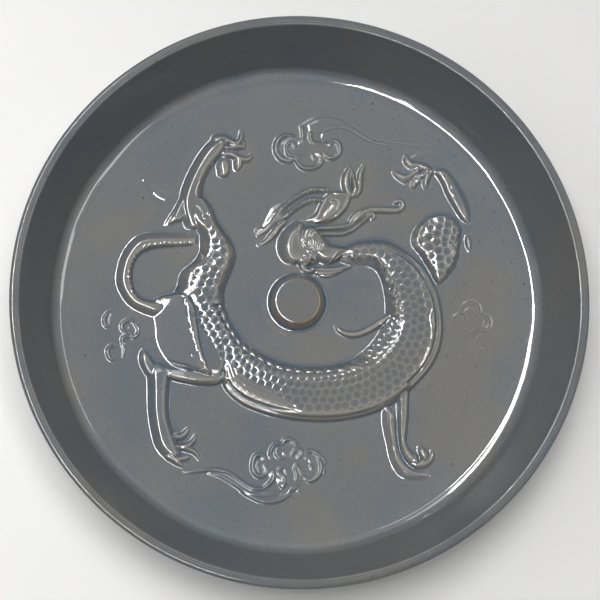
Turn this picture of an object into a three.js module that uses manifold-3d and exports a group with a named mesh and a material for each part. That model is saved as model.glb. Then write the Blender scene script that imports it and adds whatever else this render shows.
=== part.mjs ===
// A round stoneware brush washer: a wheel-thrown basin on a turned foot ring, whose inside
// floor carries a dragon chasing its pearl among clouds. The relief parts are pressed or
// rolled from clay and luted flat on the floor, so each is a solid of its own.
// Units are millimetres. +Z is up, and the origin is the middle of the foot's resting face.
import * as THREE from 'three';
import Module from 'manifold-3d';
import { mergeVertices } from 'three/addons/utils/BufferGeometryUtils.js';

const wasm = await Module();
wasm.setup();

// Basin sizes
const rimDiameter = 200;
const overallHeight = 35;
const wallLean = 23.8; // degrees from upright
const lipThickness = 3.4; // measured level, as wallFootThickness is
const wallFootThickness = 5.2;
const floorThickness = 5;
const footHeight = 3;
const footDiameter = 150;
const footWidth = 5;
const footTaper = 0.8; // how far each side of the foot draws in on its way down
const heelRise = 0.8; // how much the underside climbs from the foot to the heel
const cavettoRadius = 3.5;
const heelRadius = 6;
const lipOuterRadius = 1.7;
const lipInnerRadius = 0.6;
const footEdgeRadius = 0.5;
const turns = 72; // facets round the basin

// Relief sizes
const reliefMargin = 7.4; // bare floor between the relief's furthest point and the wall
const clearance = 0.3; // slip joint between neighbouring pieces
const pearlDiameter = 18.8;
const pearlHeight = 4.3;
const pearlDraft = 0.6; // how far its side draws in on its way up
const pearlEdgeRadius = 1.6;
const pearlTurns = 32; // facets round the pearl
const torsoHeight = 4.6;
const scalePitch = 3;
const scaleCup = 0.45; // depth of the hollow in each scale
const crestWidth = 1.8;
const crestHeight = 3.6;
const toothPitch = 3.3;
const bandWidth = 2;
const bandHeight = 2.6;
const bandPitch = 3.6; // between the cross-cuts of a band
const headHeight = 4.2;
const hairHeight = 2.1; // horns, ear, tuft, mane and whiskers
const limbHeight = 2.9;
const tailHeight = 2.3;
const flameHeight = 1.7; // fins, spurs and flame ribbons
const cloudHeight = 1.4;
const padHeight = 0.5; // thin ground that the cloud scrolls stand on

// Derived places
const rimRadius = rimDiameter / 2;
const footRadius = footDiameter / 2;
const floorZ = footHeight + floorThickness;
const lean = Math.tan(THREE.MathUtils.degToRad(wallLean));
const floorRadius = rimRadius - lipThickness - (overallHeight - floorZ) * lean;

const glaze = { color: 0x767a7d, roughness: 0.22, metalness: 0 };
const thinGlaze = { color: 0x8a7a66, roughness: 0.26, metalness: 0 };

function finish(name, solid, look = glaze) {
  const material = new THREE.MeshStandardMaterial(look);
  const mesh = new THREE.Mesh(solid.isBufferGeometry ? solid : toGeometry(solid), material);
  mesh.name = name;
  return mesh;
}

// Solids and geometries

function toSolid(geometry) {
  const bare = geometry.clone();
  bare.deleteAttribute('normal');
  bare.deleteAttribute('uv');
  const merged = mergeVertices(bare, 1e-4);
  return new wasm.Manifold(new wasm.Mesh({
    numProp: 3,
    vertProperties: new Float32Array(merged.attributes.position.array),
    triVerts: new Uint32Array(merged.index.array),
  }));
}

function toGeometry(solid) {
  const mesh = solid.getMesh();
  const geometry = new THREE.BufferGeometry();
  geometry.setAttribute('position', new THREE.BufferAttribute(mesh.vertProperties, 3));
  geometry.setIndex(new THREE.BufferAttribute(mesh.triVerts, 1));
  geometry.computeVertexNormals();
  return geometry;
}

function indexed(points, triangles) {
  const geometry = new THREE.BufferGeometry();
  const places = points.flatMap((p) => [p.x, p.y, p.z]);
  geometry.setAttribute('position', new THREE.Float32BufferAttribute(places, 3));
  geometry.setIndex(triangles);
  return geometry;
}

// Basin

// Points of the round that replaces the corner between two straight runs
function rounding(before, corner, after, radius, steps) {
  const into = before.clone().sub(corner).normalize();
  const out = after.clone().sub(corner).normalize();
  const half = Math.acos(into.dot(out)) / 2;
  const middle = corner.clone().addScaledVector(into.clone().add(out).normalize(), radius / Math.sin(half));
  const first = corner.clone().addScaledVector(into, radius / Math.tan(half)).sub(middle);
  const last = corner.clone().addScaledVector(out, radius / Math.tan(half)).sub(middle);
  const sweep = Math.atan2(first.cross(last), first.dot(last));
  return Array.from({ length: steps + 1 }, (_, i) => (
    first.clone().rotateAround(new THREE.Vector2(), (sweep * i) / steps).add(middle)
  ));
}

function roundedProfile(corners) {
  return corners.flatMap(([r, z, radius, steps], i) => {
    const corner = new THREE.Vector2(r, z);
    if (!radius) return [corner];
    const before = new THREE.Vector2(...corners[i - 1].slice(0, 2));
    const after = new THREE.Vector2(...corners[i + 1].slice(0, 2));
    return rounding(before, corner, after, radius, steps);
  });
}

function revolve(profile, segments) {
  return new THREE.LatheGeometry(profile, segments).rotateX(Math.PI / 2);
}

function basin() {
  const undersideZ = footHeight + heelRise;
  // The round on the lip cuts its corner back, so the corner stands out past the rim's radius
  const wallHeight = overallHeight - floorZ;
  const outerRun = wallHeight * lean - (wallFootThickness - lipThickness);
  const lipCornerHalfAngle = (Math.PI / 2 - Math.atan(outerRun / wallHeight)) / 2;
  const lipCorner = rimRadius + lipOuterRadius * (1 / Math.tan(lipCornerHalfAngle) - 1);
  const outerWallAt = (z) => lipCorner - ((overallHeight - z) * outerRun) / wallHeight;
  // Each corner is [radius, height, rounding, steps], from the underside round to the floor
  return revolve(roundedProfile([
    [0, footHeight],
    [footRadius - footWidth, footHeight, footEdgeRadius, 1],
    [footRadius - footWidth + footTaper, 0, footEdgeRadius, 1],
    [footRadius - footTaper, 0, footEdgeRadius, 1],
    [footRadius, footHeight, footEdgeRadius, 1],
    [outerWallAt(undersideZ), undersideZ, heelRadius, 3],
    [lipCorner, overallHeight, lipOuterRadius, 4],
    [rimRadius - lipThickness, overallHeight, lipInnerRadius, 1],
    [floorRadius, floorZ, cavettoRadius, 3],
    [0, floorZ],
  ]), turns);
}

const pearlCentre = [-0.2, 2];

function pearl(grow = 0) {
  const radius = pearlDiameter / 2 + grow;
  const shape = revolve(roundedProfile([
    [0, -grow],
    [radius, -grow],
    [radius - pearlDraft, pearlHeight + grow, pearlEdgeRadius, 4],
    [0, pearlHeight + grow],
  ]), pearlTurns);
  return shape.translate(pearlCentre[0] * spread, pearlCentre[1] * spread, floorZ);
}

// Rolled and pressed strands

// Flat-bottomed sections across a strand, as [share of the half width, share of the height]
const archSection = [[-1, 0], [-0.74, 0.7], [0, 1], [0.74, 0.7], [1, 0]];
const rollSection = [[-1, 0], [-0.5, 1], [0.5, 1], [1, 0]];
const toothSection = [[-1, 0], [0, 1], [1, 0]];

function sectionRing(section, middle, side, halfWidth, height, sunk) {
  const ring = section.map(([across, up]) => {
    const point = middle.clone().addScaledVector(side, across * halfWidth);
    return point.setZ(floorZ + up * height);
  });
  if (!sunk) return ring;
  // A cutter reaches below the floor, so that it leaves no skin there
  const [left, right] = [ring[0], ring[ring.length - 1]];
  return [left.clone().setZ(floorZ - sunk), ...ring, right.clone().setZ(floorZ - sunk)];
}

function loft(rings) {
  const across = rings[0].length;
  const points = rings.flat();
  const triangles = [];
  for (let i = 0; i < rings.length - 1; i += 1) {
    for (let j = 0; j < across; j += 1) {
      const a = i * across + j;
      const b = i * across + ((j + 1) % across);
      triangles.push(a, b, a + across, b, b + across, a + across);
    }
  }
  const lastRing = (rings.length - 1) * across;
  for (let j = 1; j < across - 1; j += 1) {
    triangles.push(0, j + 1, j);
    triangles.push(lastRing, lastRing + j, lastRing + j + 1);
  }
  return toSolid(indexed(points, triangles));
}

// Each point of a strand is [x, y, half width, share of the height]
function strand(points, height, step, section, grow = 0) {
  const line = new THREE.CatmullRomCurve3(
    points.map(([x, y]) => new THREE.Vector3(x * spread, y * spread, 0)), false, 'catmullrom', 0.5);
  const form = new THREE.CatmullRomCurve3(
    points.map((p) => new THREE.Vector3(p[2] * spread, p[3], 0)), false, 'catmullrom', 0.5);
  const count = Math.max(points.length - 1, Math.ceil(line.getLength() / (step * spread)));
  const rings = [];
  for (let i = 0; i <= count; i += 1) {
    const t = i / count;
    const ahead = line.getTangent(t).setZ(0).normalize();
    const side = new THREE.Vector3(ahead.y, -ahead.x, 0);
    const middle = line.getPoint(t);
    if (i === 0) middle.addScaledVector(ahead, -grow);
    if (i === count) middle.addScaledVector(ahead, grow);
    const { x: halfWidth, y: rise } = form.getPoint(t);
    rings.push(sectionRing(section, middle, side, halfWidth + grow, rise * height + grow, grow));
  }
  return loft(rings);
}

// Every point drawn for the relief, from which its reach is measured
const drawn = [];

function strands(list, height, step, section = archSection) {
  drawn.push(...list.flat());
  return (grow) => list
    .map((points) => strand(points, height, step, section, grow))
    .reduce((whole, part) => whole.add(part));
}

// The dragon's hide

// The coil runs from neck to hind leg. Each station is [x, y] on the inside of the coil,
// [x, y] on its outside, and the share of the torso's height at its crown.
const coil = [
  [15.5, 16.6, 15, 20.4, 0.58],
  [19, 15.5, 19, 23, 0.7],
  [23.5, 15.5, 24.5, 24.4, 0.8],
  [27.2, 14.2, 32, 24.2, 0.87],
  [29.6, 10.8, 38.5, 20.7, 0.92],
  [30.8, 6, 45, 15, 0.96],
  [31.3, 1, 50, 6, 1],
  [31, -3.6, 51.9, -4, 1],
  [29, -8.4, 51.3, -12.5, 1],
  [26, -12.6, 48.3, -20, 1],
  [22.5, -16, 43.5, -26, 1],
  [18.3, -18.9, 37, -32, 1],
  [13, -20.6, 28.6, -37, 1],
  [7, -21.2, 18, -40, 0.98],
  [1, -21, 7, -40.9, 0.98],
  [-5, -20, -4, -39.9, 0.96],
  [-10, -18.1, -13.5, -37.6, 0.94],
  [-15, -15.2, -21.5, -33.8, 0.92],
  [-19, -12, -26.4, -28.2, 0.9],
  [-22.3, -8, -27.4, -20, 0.9],
  [-24.8, -3, -31, -12, 0.9],
  [-26, 1.5, -36, -5, 0.88],
  [-26, 5.5, -40.6, 1, 0.86],
  [-24.6, 9.5, -40.4, 6, 0.84],
  [-23.2, 13.5, -38.6, 10.5, 0.8],
  [-22.6, 18, -36, 15, 0.76],
  [-23.8, 22.5, -34.8, 20, 0.72],
  [-26.8, 26, -34.8, 24.5, 0.68],
  [-29.4, 29, -37, 28, 0.66],
  [-30.6, 33, -40, 32.5, 0.64],
  [-32, 37.5, -40, 37.5, 0.6],
  [-35.6, 40.6, -39.4, 41, 0.55],
];
const neckEnd = 3;
const torsoEnd = 21;

// The scaled upper arm has stations of the same kind
const upperArm = [
  [51.6, 9.2, 49.4, 9.6, 0.45],
  [55.4, 13.4, 46.8, 14.5, 0.64],
  [57.6, 18, 43.8, 19.5, 0.72],
  [58.2, 23, 40.8, 23.6, 0.76],
  [59, 28, 41.8, 28.4, 0.74],
  [57, 32.2, 46, 32.6, 0.66],
  [53.6, 33.8, 50, 33.8, 0.5],
];

function edgesOf(stations) {
  const curve = (x, y) => new THREE.CatmullRomCurve3(
    stations.map((s) => new THREE.Vector3(s[x] * spread, s[y] * spread, 0)), false, 'catmullrom', 0.5);
  const crown = new THREE.CatmullRomCurve3(
    stations.map((s) => new THREE.Vector3(s[4], 0, 0)), false, 'catmullrom', 0.5);
  return { inner: curve(0, 1), outer: curve(2, 3), crown, last: stations.length - 1 };
}

// A cross-cut of the hide, its edges drawn in to leave room for the crest and the bands
function crossCut(edges, station, innerInset, outerInset) {
  const t = station / edges.last;
  const inner = edges.inner.getPoint(t);
  const outer = edges.outer.getPoint(t);
  const side = outer.clone().sub(inner).normalize();
  return {
    inner: inner.clone().addScaledVector(side, innerInset),
    outer: outer.clone().addScaledVector(side, -outerInset),
    rise: edges.crown.getPoint(t).x,
    side,
  };
}

const stationSteps = 8; // straight steps between stations, for measuring along a hide
const domeFullness = 0.75; // below 1, the back is broader than a half sine

// Scales sit in a staggered net: every third knot of it is the hollow middle of a scale
function hide(stations, options, grow = 0) {
  const { from, to, rows, innerInset = 0, outerInset = 0, innerEdge = 0.4, outerEdge = 0.4 } = options;
  const edges = edgesOf(stations);
  const cutAt = (station) => crossCut(edges, station, innerInset - grow, outerInset - grow);
  const lengths = [0];
  for (let i = 1; i <= (to - from) * stationSteps; i += 1) {
    const [a, b] = [cutAt(from + (i - 1) / stationSteps), cutAt(from + i / stationSteps)];
    const middleA = a.inner.add(a.outer).multiplyScalar(0.5);
    lengths.push(lengths[i - 1] + middleA.distanceTo(b.inner.add(b.outer).multiplyScalar(0.5)));
  }
  const total = lengths[lengths.length - 1];
  const stationAt = (distance) => {
    const next = Math.max(1, lengths.findIndex((length) => length >= Math.min(distance, total)));
    const share = (Math.min(distance, total) - lengths[next - 1]) / (lengths[next] - lengths[next - 1]);
    return from + (next - 1 + share) / stationSteps;
  };
  // A cutter needs no scales, so its net is coarser
  const rowCount = grow ? 2 * Math.round(rows / 4) : rows;
  const knotPitch = (grow ? 2 : 1) * (scalePitch / Math.sqrt(3));
  const columns = Math.round(total / knotPitch);
  const knot = (j, i, shift) => {
    const distance = THREE.MathUtils.clamp((i + shift) / columns, 0, 1) * total;
    const cut = cutAt(stationAt(distance));
    const v = j / rowCount;
    const edge = THREE.MathUtils.lerp(innerEdge, outerEdge, v);
    const dome = edge + (1 - edge) * Math.sin(Math.PI * v) ** domeFullness;
    const isEdge = j === 0 || j === rowCount || distance === 0 || distance === total;
    const axial = i - (j - (j % 2)) / 2;
    const isMiddle = !grow && !isEdge && (((axial - j) % 3) + 3) % 3 === 0;
    const height = torsoHeight * cut.rise * dome + grow - (isMiddle ? scaleCup : 0);
    return cut.inner.lerp(cut.outer, v).setZ(floorZ + height);
  };
  const points = [];
  const rowStarts = [];
  for (let j = 0; j <= rowCount; j += 1) {
    rowStarts.push(points.length);
    if (j % 2 === 0) {
      for (let i = 0; i <= columns; i += 1) points.push(knot(j, i, 0));
    } else {
      for (let i = -1; i <= columns; i += 1) points.push(knot(j, i, 0.5));
    }
  }
  const triangles = [];
  const between = (even, odd, flip) => {
    const add = (a, b, c) => (flip ? triangles.push(a, c, b) : triangles.push(a, b, c));
    for (let i = 0; i <= columns; i += 1) {
      add(rowStarts[odd] + i, rowStarts[odd] + i + 1, rowStarts[even] + i);
      if (i < columns) {
        add(rowStarts[even] + i, rowStarts[odd] + i + 1, rowStarts[even] + i + 1);
      }
    }
  };
  for (let j = 0; j < rowCount; j += 1) {
    if (j % 2 === 0) between(j, j + 1, true);
    else between(j + 1, j, false);
  }
  closeBelow(points, triangles, rowStarts, columns, grow);
  return toSolid(indexed(points, triangles));
}

// Walls down to the floor round a hide, and its flat underside
function closeBelow(points, triangles, rowStarts, columns, grow) {
  const lastRow = rowStarts.length - 1;
  const drop = (top) => points.push(points[top].clone().setZ(floorZ - grow)) - 1;
  const along = Array.from({ length: columns + 1 }, (_, i) => i);
  const near = along.map((i) => drop(rowStarts[0] + i));
  const far = along.map((i) => drop(rowStarts[lastRow] + i));
  for (let i = 0; i < columns; i += 1) {
    const nearTop = rowStarts[0] + i;
    const farTop = rowStarts[lastRow] + i;
    triangles.push(near[i], near[i + 1], nearTop, near[i + 1], nearTop + 1, nearTop);
    triangles.push(far[i], farTop, far[i + 1], far[i + 1], farTop, farTop + 1);
    triangles.push(near[i], far[i], near[i + 1], near[i + 1], far[i], far[i + 1]);
  }
  const lastOf = (j) => rowStarts[j] + columns + (j % 2);
  for (let j = 0; j < lastRow; j += 1) {
    triangles.push(near[0], rowStarts[j], rowStarts[j + 1]);
    triangles.push(near[columns], lastOf(j + 1), lastOf(j));
  }
  triangles.push(near[0], rowStarts[lastRow], far[0]);
  triangles.push(near[columns], far[columns], lastOf(lastRow));
}

const torsoHide = {
  from: neckEnd,
  to: torsoEnd,
  rows: 14,
  innerInset: crestWidth + clearance,
  outerInset: bandWidth + clearance,
  innerEdge: 0.62,
  outerEdge: 0.5,
};
const neckHide = { from: 0, to: neckEnd, rows: 6, innerEdge: 0.4, outerEdge: 0.4 };
const thighHide = { from: torsoEnd, to: coil.length - 1, rows: 8, innerEdge: 0.3, outerEdge: 0.3 };
const armHide = { from: 0, to: upperArm.length - 1, rows: 10, innerEdge: 0.25, outerEdge: 0.25 };

const stripTip = 0.55; // share of its width and height that a strip keeps at its two ends

// The toothed crest along the inside of the coil, and the rolled bands along its outside
function edgeStrip({ from, to, insetOf, halfWidth, height, pitch, section, lowShare = 1 }) {
  return (grow) => {
    const edges = edgesOf(coil);
    const length = edges.inner.getLength() * ((to - from) / edges.last);
    const count = Math.max(2, Math.round(length / pitch));
    const rings = [];
    for (let i = 0; i <= count; i += 1) {
      const station = THREE.MathUtils.lerp(from, to, i / count);
      const cut = crossCut(edges, station, 0, 0);
      const middle = insetOf(cut);
      const tip = i === 0 || i === count ? stripTip : 1;
      const low = i % 2 === 1 ? lowShare : 1;
      const rise = height * cut.rise * low * tip;
      rings.push(sectionRing(section, middle, cut.side.negate(), halfWidth * tip + grow, rise + grow, grow));
    }
    return loft(rings);
  };
}

const crest = edgeStrip({
  from: neckEnd,
  to: torsoEnd,
  insetOf: (cut) => cut.inner.clone().addScaledVector(cut.side, crestWidth / 2),
  halfWidth: crestWidth / 2,
  height: crestHeight,
  pitch: toothPitch / 2,
  section: toothSection,
  lowShare: 0.7,
});

const bandInset = (cut) => cut.outer.clone().addScaledVector(cut.side, -bandWidth / 2);

const bandUpper = edgeStrip({
  from: neckEnd,
  to: 10.4,
  insetOf: bandInset,
  halfWidth: bandWidth / 2,
  height: bandHeight,
  pitch: bandPitch,
  section: archSection,
});

const bandLower = edgeStrip({
  from: 11.9,
  to: 17.9,
  insetOf: bandInset,
  halfWidth: bandWidth / 2,
  height: bandHeight,
  pitch: bandPitch,
  section: archSection,
});

// Head

const headForm = strands([
  [[16.2, 19.6, 2.6, 0.7], [13.4, 20.6, 3.8, 0.86], [10, 21.3, 4.8, 0.98], [6.6, 20.6, 4.8, 1],
    [4, 18.4, 3.6, 0.86], [2.4, 16, 2.2, 0.62]],
  [[12, 25.2, 1.4, 0.6], [9.6, 26, 2.2, 0.9], [6.4, 26, 2.6, 1], [3.6, 24.6, 2.8, 0.94],
    [1.8, 21.8, 2.4, 0.8], [1.4, 19, 1.7, 0.66]],
], headHeight, 2.5);

const jawBeard = strands([
  [[3.6, 13.4, 0.8, 0.9], [7, 12.7, 1, 1], [11, 12.9, 0.9, 1], [15, 13.9, 0.8, 0.9], [18.4, 14.8, 0.5, 0.6]],
  [[5.4, 11.6, 0.5, 0.6], [8.4, 11.4, 0.8, 0.8], [12, 11.9, 0.7, 0.8], [15.6, 12.9, 0.4, 0.5]],
], hairHeight, 3);

const mane = strands([
  [[-3.2, 31, 0.6, 0.6], [-5.8, 27.6, 0.9, 0.8], [-7, 23.2, 1, 0.85], [-6.2, 19, 0.9, 0.8],
    [-3.2, 16.2, 0.7, 0.6]],
  [[-0.8, 31, 0.7, 0.9], [-3.6, 27.4, 1.1, 1.1], [-4.6, 23, 1.2, 1.15], [-3.8, 19.2, 1.1, 1.1],
    [-1.6, 16.4, 0.8, 0.9]],
  [[0.8, 29.8, 0.9, 1], [-1.2, 26.4, 1.3, 1.2], [-2, 22.6, 1.4, 1.3], [-1.2, 19, 1.2, 1.2],
    [0.2, 16.6, 0.8, 1]],
  [[-4.6, 26.6, 1.4, 0.5], [-5.4, 23, 1.6, 0.5], [-4.6, 19.2, 1.3, 0.5]],
], hairHeight, 3);

const hornUpper = strands([
  [[10.4, 42.3, 0.7, 0.8], [7.6, 43.2, 1.05, 1], [4, 42.9, 1.1, 1], [0.6, 41.3, 1.1, 1],
    [-2.6, 38.9, 1.15, 1], [-5.6, 36.6, 1.4, 1.05], [-8.4, 34.4, 1.5, 1], [-10.8, 31.2, 1.1, 0.8],
    [-13, 28.3, 0.8, 0.6], [-15.2, 26.7, 0.6, 0.5], [-16.6, 26.4, 0.5, 0.4]],
], hairHeight, 3.4);

const hornLower = strands([
  [[8, 38.9, 0.7, 0.8], [5, 38.6, 1, 0.95], [1.6, 37.5, 1.05, 0.95], [-1.6, 35.5, 1.1, 0.95],
    [-4.8, 32.8, 1.2, 0.95], [-7.4, 29.8, 1.1, 0.85], [-9.6, 26.4, 1, 0.7], [-12.2, 23.8, 0.8, 0.6],
    [-14.8, 22.8, 0.6, 0.5], [-16.2, 23, 0.5, 0.4]],
], hairHeight, 3.4);

const ear = strands([
  [[6.2, 31.6, 0.9, 0.8], [8.8, 34, 2.5, 1.05], [11.8, 36.8, 3.2, 1.2], [15, 38.8, 2.7, 1.1],
    [18.2, 39.8, 1, 0.8]],
  [[9.2, 31.3, 0.7, 0.6], [12.8, 33, 0.9, 0.8], [16, 35.6, 0.9, 0.8], [18.4, 38.2, 0.6, 0.6]],
], hairHeight, 3);

const earTuft = strands([
  [[19.2, 41.4, 0.9, 0.8], [17.6, 44, 1.3, 0.95], [17.1, 47, 1.2, 0.85], [18, 50, 0.8, 0.65],
    [18.9, 52.2, 0.4, 0.4]],
  [[20, 41.6, 0.9, 0.8], [20, 44.4, 1, 0.95], [19.8, 47.4, 0.8, 0.8], [19.7, 50.6, 0.4, 0.5]],
  [[20.6, 41.4, 0.9, 0.8], [22.1, 44.2, 1, 0.95], [22.3, 47.4, 0.9, 0.85], [23, 50, 0.8, 0.65],
    [24.2, 52, 0.4, 0.4]],
], hairHeight, 3);

const whiskerUpper = strands([
  [[8, 29.2, 0.6, 0.7], [12.6, 29.4, 0.7, 0.75], [16.8, 29.9, 0.8, 0.8], [19.4, 31.6, 0.9, 0.85],
    [22.2, 34.2, 0.9, 0.85], [25.8, 35.8, 0.85, 0.8], [30.4, 35.8, 0.75, 0.7], [34.6, 35.9, 0.75, 0.7],
    [37, 36.8, 0.8, 0.75], [37.8, 38.2, 0.7, 0.7], [36.6, 39.5, 0.5, 0.5]],
], hairHeight, 3);

const whiskerLower = strands([
  [[6.6, 27.9, 0.5, 0.6], [11.8, 27.2, 0.6, 0.7], [16.8, 27.3, 0.7, 0.75], [20.4, 29, 0.8, 0.8],
    [23.4, 31.6, 0.8, 0.8], [25.8, 33.6, 0.8, 0.8], [27.4, 33.2, 0.7, 0.7], [27, 31.8, 0.4, 0.4]],
], hairHeight, 3);

// Fins, tail and flames

const backFin = strands([
  [[14.2, -7, 0.5, 0.6], [16.4, -8.8, 0.8, 1], [20, -9.6, 0.9, 1.1], [24, -9, 0.9, 1.1],
    [27.6, -7, 0.9, 1.15], [30.4, -4.6, 0.9, 1.2]],
], flameHeight, 3);

const tail = strands([
  [[-37, 25.2, 1.1, 0.7], [-42, 24.5, 1.9, 0.9], [-48, 23.9, 2.2, 1], [-53.8, 23.5, 2.5, 1],
    [-58.4, 20.8, 2.8, 1], [-61, 16, 2.9, 1], [-61.7, 10.6, 3, 1], [-60.8, 5.4, 3, 1],
    [-58, 1.6, 2.9, 1], [-54, -0.6, 2.6, 0.95], [-50.2, -0.8, 2.2, 0.9], [-47, 0.9, 1.8, 0.8]],
], tailHeight, 3.6);

const flameUpperLeft = strands([
  [[-55.4, 46, 0.6, 0.35], [-54, 42.8, 1.6, 0.55], [-50.4, 40.3, 2.1, 0.65], [-46.6, 39.8, 1.9, 0.6],
    [-43.4, 40.6, 1.3, 0.5]],
], flameHeight, 3);

const flameRibbonRight = strands([
  [[47.4, 56.2, 0.8, 0.3], [52, 54.2, 1.5, 0.45], [57.4, 49, 1.8, 0.45], [61.8, 41.6, 2, 0.5],
    [65, 33.4, 2, 0.5], [66.4, 25, 1.8, 0.45], [66, 17.6, 1.4, 0.4], [64.6, 12, 0.7, 0.3]],
], flameHeight, 5, rollSection);

const flameRibbonLower = strands([
  [[63.6, -24.8, 0.5, 0.3], [61.4, -29.6, 1.2, 0.4], [59.4, -36, 1.5, 0.45], [58.2, -43, 1.4, 0.45],
    [56.6, -49, 1, 0.35], [54.4, -52.6, 0.5, 0.3]],
], flameHeight, 5, rollSection);

const foreFlameLower = strands([
  [[32, -34.4, 0.8, 0.8], [31.4, -39.4, 1.6, 1], [32, -45, 1.5, 1], [33, -50.6, 1.4, 0.95],
    [34.6, -55.2, 1.4, 0.85], [37.4, -58.6, 1.2, 0.7], [41.6, -60.2, 0.9, 0.5], [46, -60, 0.5, 0.35]],
], flameHeight, 3.4);

const elbowSpur = strands([
  [[60.4, 26.8, 0.35, 0.5], [60.7, 24.2, 0.8, 0.8], [61.5, 21.2, 0.35, 0.5]],
], flameHeight, 2);

const heelSpurUpper = strands([
  [[-47.9, 29.8, 0.4, 0.5], [-45.6, 32.6, 1.2, 0.9], [-43.6, 35.6, 1.9, 1.1], [-42, 38.8, 1.2, 0.9]],
], flameHeight, 2.4);

const heelSpurLower = strands([
  [[-55.1, -15.4, 0.35, 0.5], [-55, -18, 1.1, 0.9], [-54, -20.6, 1.6, 1.1], [-52.4, -22.8, 1.5, 1.1]],
], flameHeight, 2.4);

// Hind legs

const hip = strands([
  [[-44.4, 5.2, 1.2, 0.5], [-45.4, 0.6, 3.2, 0.66], [-46, -5, 4.4, 0.7], [-45.6, -10.4, 4.6, 0.7],
    [-43.6, -15.4, 4.6, 0.68], [-39.8, -19.6, 3.6, 0.6], [-36, -21.6, 1.8, 0.5]],
], limbHeight, 4);

const hindThighLower = strands([
  [[-40.4, -1.6, 0.9, 0.8], [-38.6, -6, 2.6, 1.1], [-35.8, -11.6, 4.2, 1.3], [-32.4, -17.6, 5, 1.36],
    [-29.8, -23, 4.2, 1.3], [-28.6, -26.4, 2.4, 1.1]],
  [[-29.6, -25, 2.6, 1.1], [-34.4, -25.2, 2.1, 1.05], [-39.4, -24.4, 1.8, 0.95], [-44.2, -23.4, 1.9, 0.9],
    [-48, -22.8, 2, 0.9]],
], limbHeight, 3.2);

const hindShinLower = strands([
  [[-48.7, -21.4, 2, 0.95], [-48.3, -27.4, 1.9, 0.95], [-48.2, -33.4, 1.9, 0.9], [-47.9, -39, 1.9, 0.88],
    [-47, -44, 1.9, 0.85], [-45.4, -48.6, 2.2, 0.8], [-44.6, -51.4, 1.8, 0.7]],
  [[-51.4, -22.4, 1.5, 0.6], [-51.7, -28.4, 1.5, 0.55], [-51.6, -35, 1.5, 0.55], [-51, -42, 1.5, 0.55],
    [-49.4, -48, 1.5, 0.5], [-46.4, -52.6, 1.2, 0.45], [-43.4, -55, 0.9, 0.4], [-41, -56.6, 0.5, 0.3]],
], limbHeight, 4);

const hindPawLower = strands([
  [[-43.4, -46.2, 1.1, 0.66], [-41.2, -45.6, 0.9, 0.6], [-39.7, -44.6, 0.7, 0.55], [-38.6, -43.2, 0.4, 0.4]],
  [[-43, -47.8, 1.2, 0.66], [-40.4, -47.2, 0.9, 0.6], [-38, -47, 0.9, 0.6], [-36.4, -48.9, 0.5, 0.4]],
  [[-43, -50.4, 1.3, 0.66], [-40.6, -50.3, 1, 0.6], [-37.6, -50.8, 0.8, 0.55], [-35, -53, 0.4, 0.4]],
  [[-43, -52.6, 1.1, 0.6], [-41.2, -53.8, 0.9, 0.55], [-38.8, -54.1, 0.5, 0.4]],
  [[-43.8, -49.2, 1.4, 0.7], [-42.6, -51.6, 1.2, 0.66], [-42.8, -52.8, 1, 0.6]],
  [[-43.8, -45.8, 1.2, 0.66], [-43.6, -48.6, 1.4, 0.7]],
], limbHeight, 3, rollSection);

const hindShinUpper = strands([
  [[-37.8, 42.3, 1.5, 0.8], [-36.9, 46, 1.6, 0.8], [-35.3, 50, 1.7, 0.8], [-33, 54, 1.7, 0.8],
    [-30.4, 57.4, 1.7, 0.75]],
  [[-40.4, 42, 1.3, 0.5], [-39.4, 46, 1.2, 0.5], [-37.6, 50.6, 1.2, 0.5], [-35.2, 55, 1.1, 0.45],
    [-32.4, 59, 0.9, 0.4], [-30.6, 61, 0.5, 0.3]],
], limbHeight, 4);

const hindPawUpper = strands([
  [[-28.8, 59.2, 1.5, 0.66], [-26, 60.6, 1.2, 0.6], [-23, 60.4, 1, 0.55], [-20.8, 61.2, 0.8, 0.5],
    [-20.2, 63.4, 0.4, 0.35]],
  [[-28, 58, 1.4, 0.66], [-24.4, 58.2, 1.1, 0.6], [-21.2, 58, 0.9, 0.55], [-19.4, 56.2, 0.7, 0.5],
    [-17.2, 54.6, 0.4, 0.35]],
  [[-27.4, 57, 1.2, 0.66], [-24.2, 55.6, 1, 0.6], [-22, 54, 0.9, 0.55], [-21.4, 51.8, 0.7, 0.5],
    [-23.2, 50.2, 0.4, 0.35]],
  [[-28.4, 57.6, 1.1, 0.6], [-28.4, 54.2, 1.2, 0.6], [-27.4, 51.6, 1.2, 0.55], [-28.2, 48.6, 0.6, 0.4]],
  [[-26.4, 55, 1.1, 0.55], [-25, 51.6, 0.9, 0.5], [-22.8, 48.6, 0.4, 0.35]],
], limbHeight, 3, rollSection);

// Forelegs

const forearmUpper = strands([
  [[58.4, 34.8, 1.2, 0.7], [57.4, 38.4, 1.9, 0.8], [55.8, 42.4, 2.3, 0.82], [53.4, 46.4, 2.4, 0.8],
    [50, 49.8, 2.3, 0.75], [47, 51.4, 1.9, 0.7]],
], limbHeight, 3.6);

const forePawUpper = strands([
  [[46.4, 51.8, 1.5, 0.66], [43.4, 52.6, 1.1, 0.6], [40.6, 52.4, 0.9, 0.55], [38.8, 55.2, 0.4, 0.35]],
  [[45.6, 51.2, 1.4, 0.66], [42, 50.2, 1.1, 0.6], [38.6, 47.6, 1, 0.55], [34.6, 49.2, 0.4, 0.35]],
  [[45.4, 50.4, 1.3, 0.66], [42.4, 48.6, 1, 0.6], [40.6, 46, 0.9, 0.5], [41.2, 43.8, 0.5, 0.4]],
  [[46, 50.4, 1.3, 0.66], [44.8, 47.6, 1.1, 0.6], [43.6, 45.2, 0.9, 0.5], [46, 44.2, 0.4, 0.35]],
], limbHeight, 3, rollSection);

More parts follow.
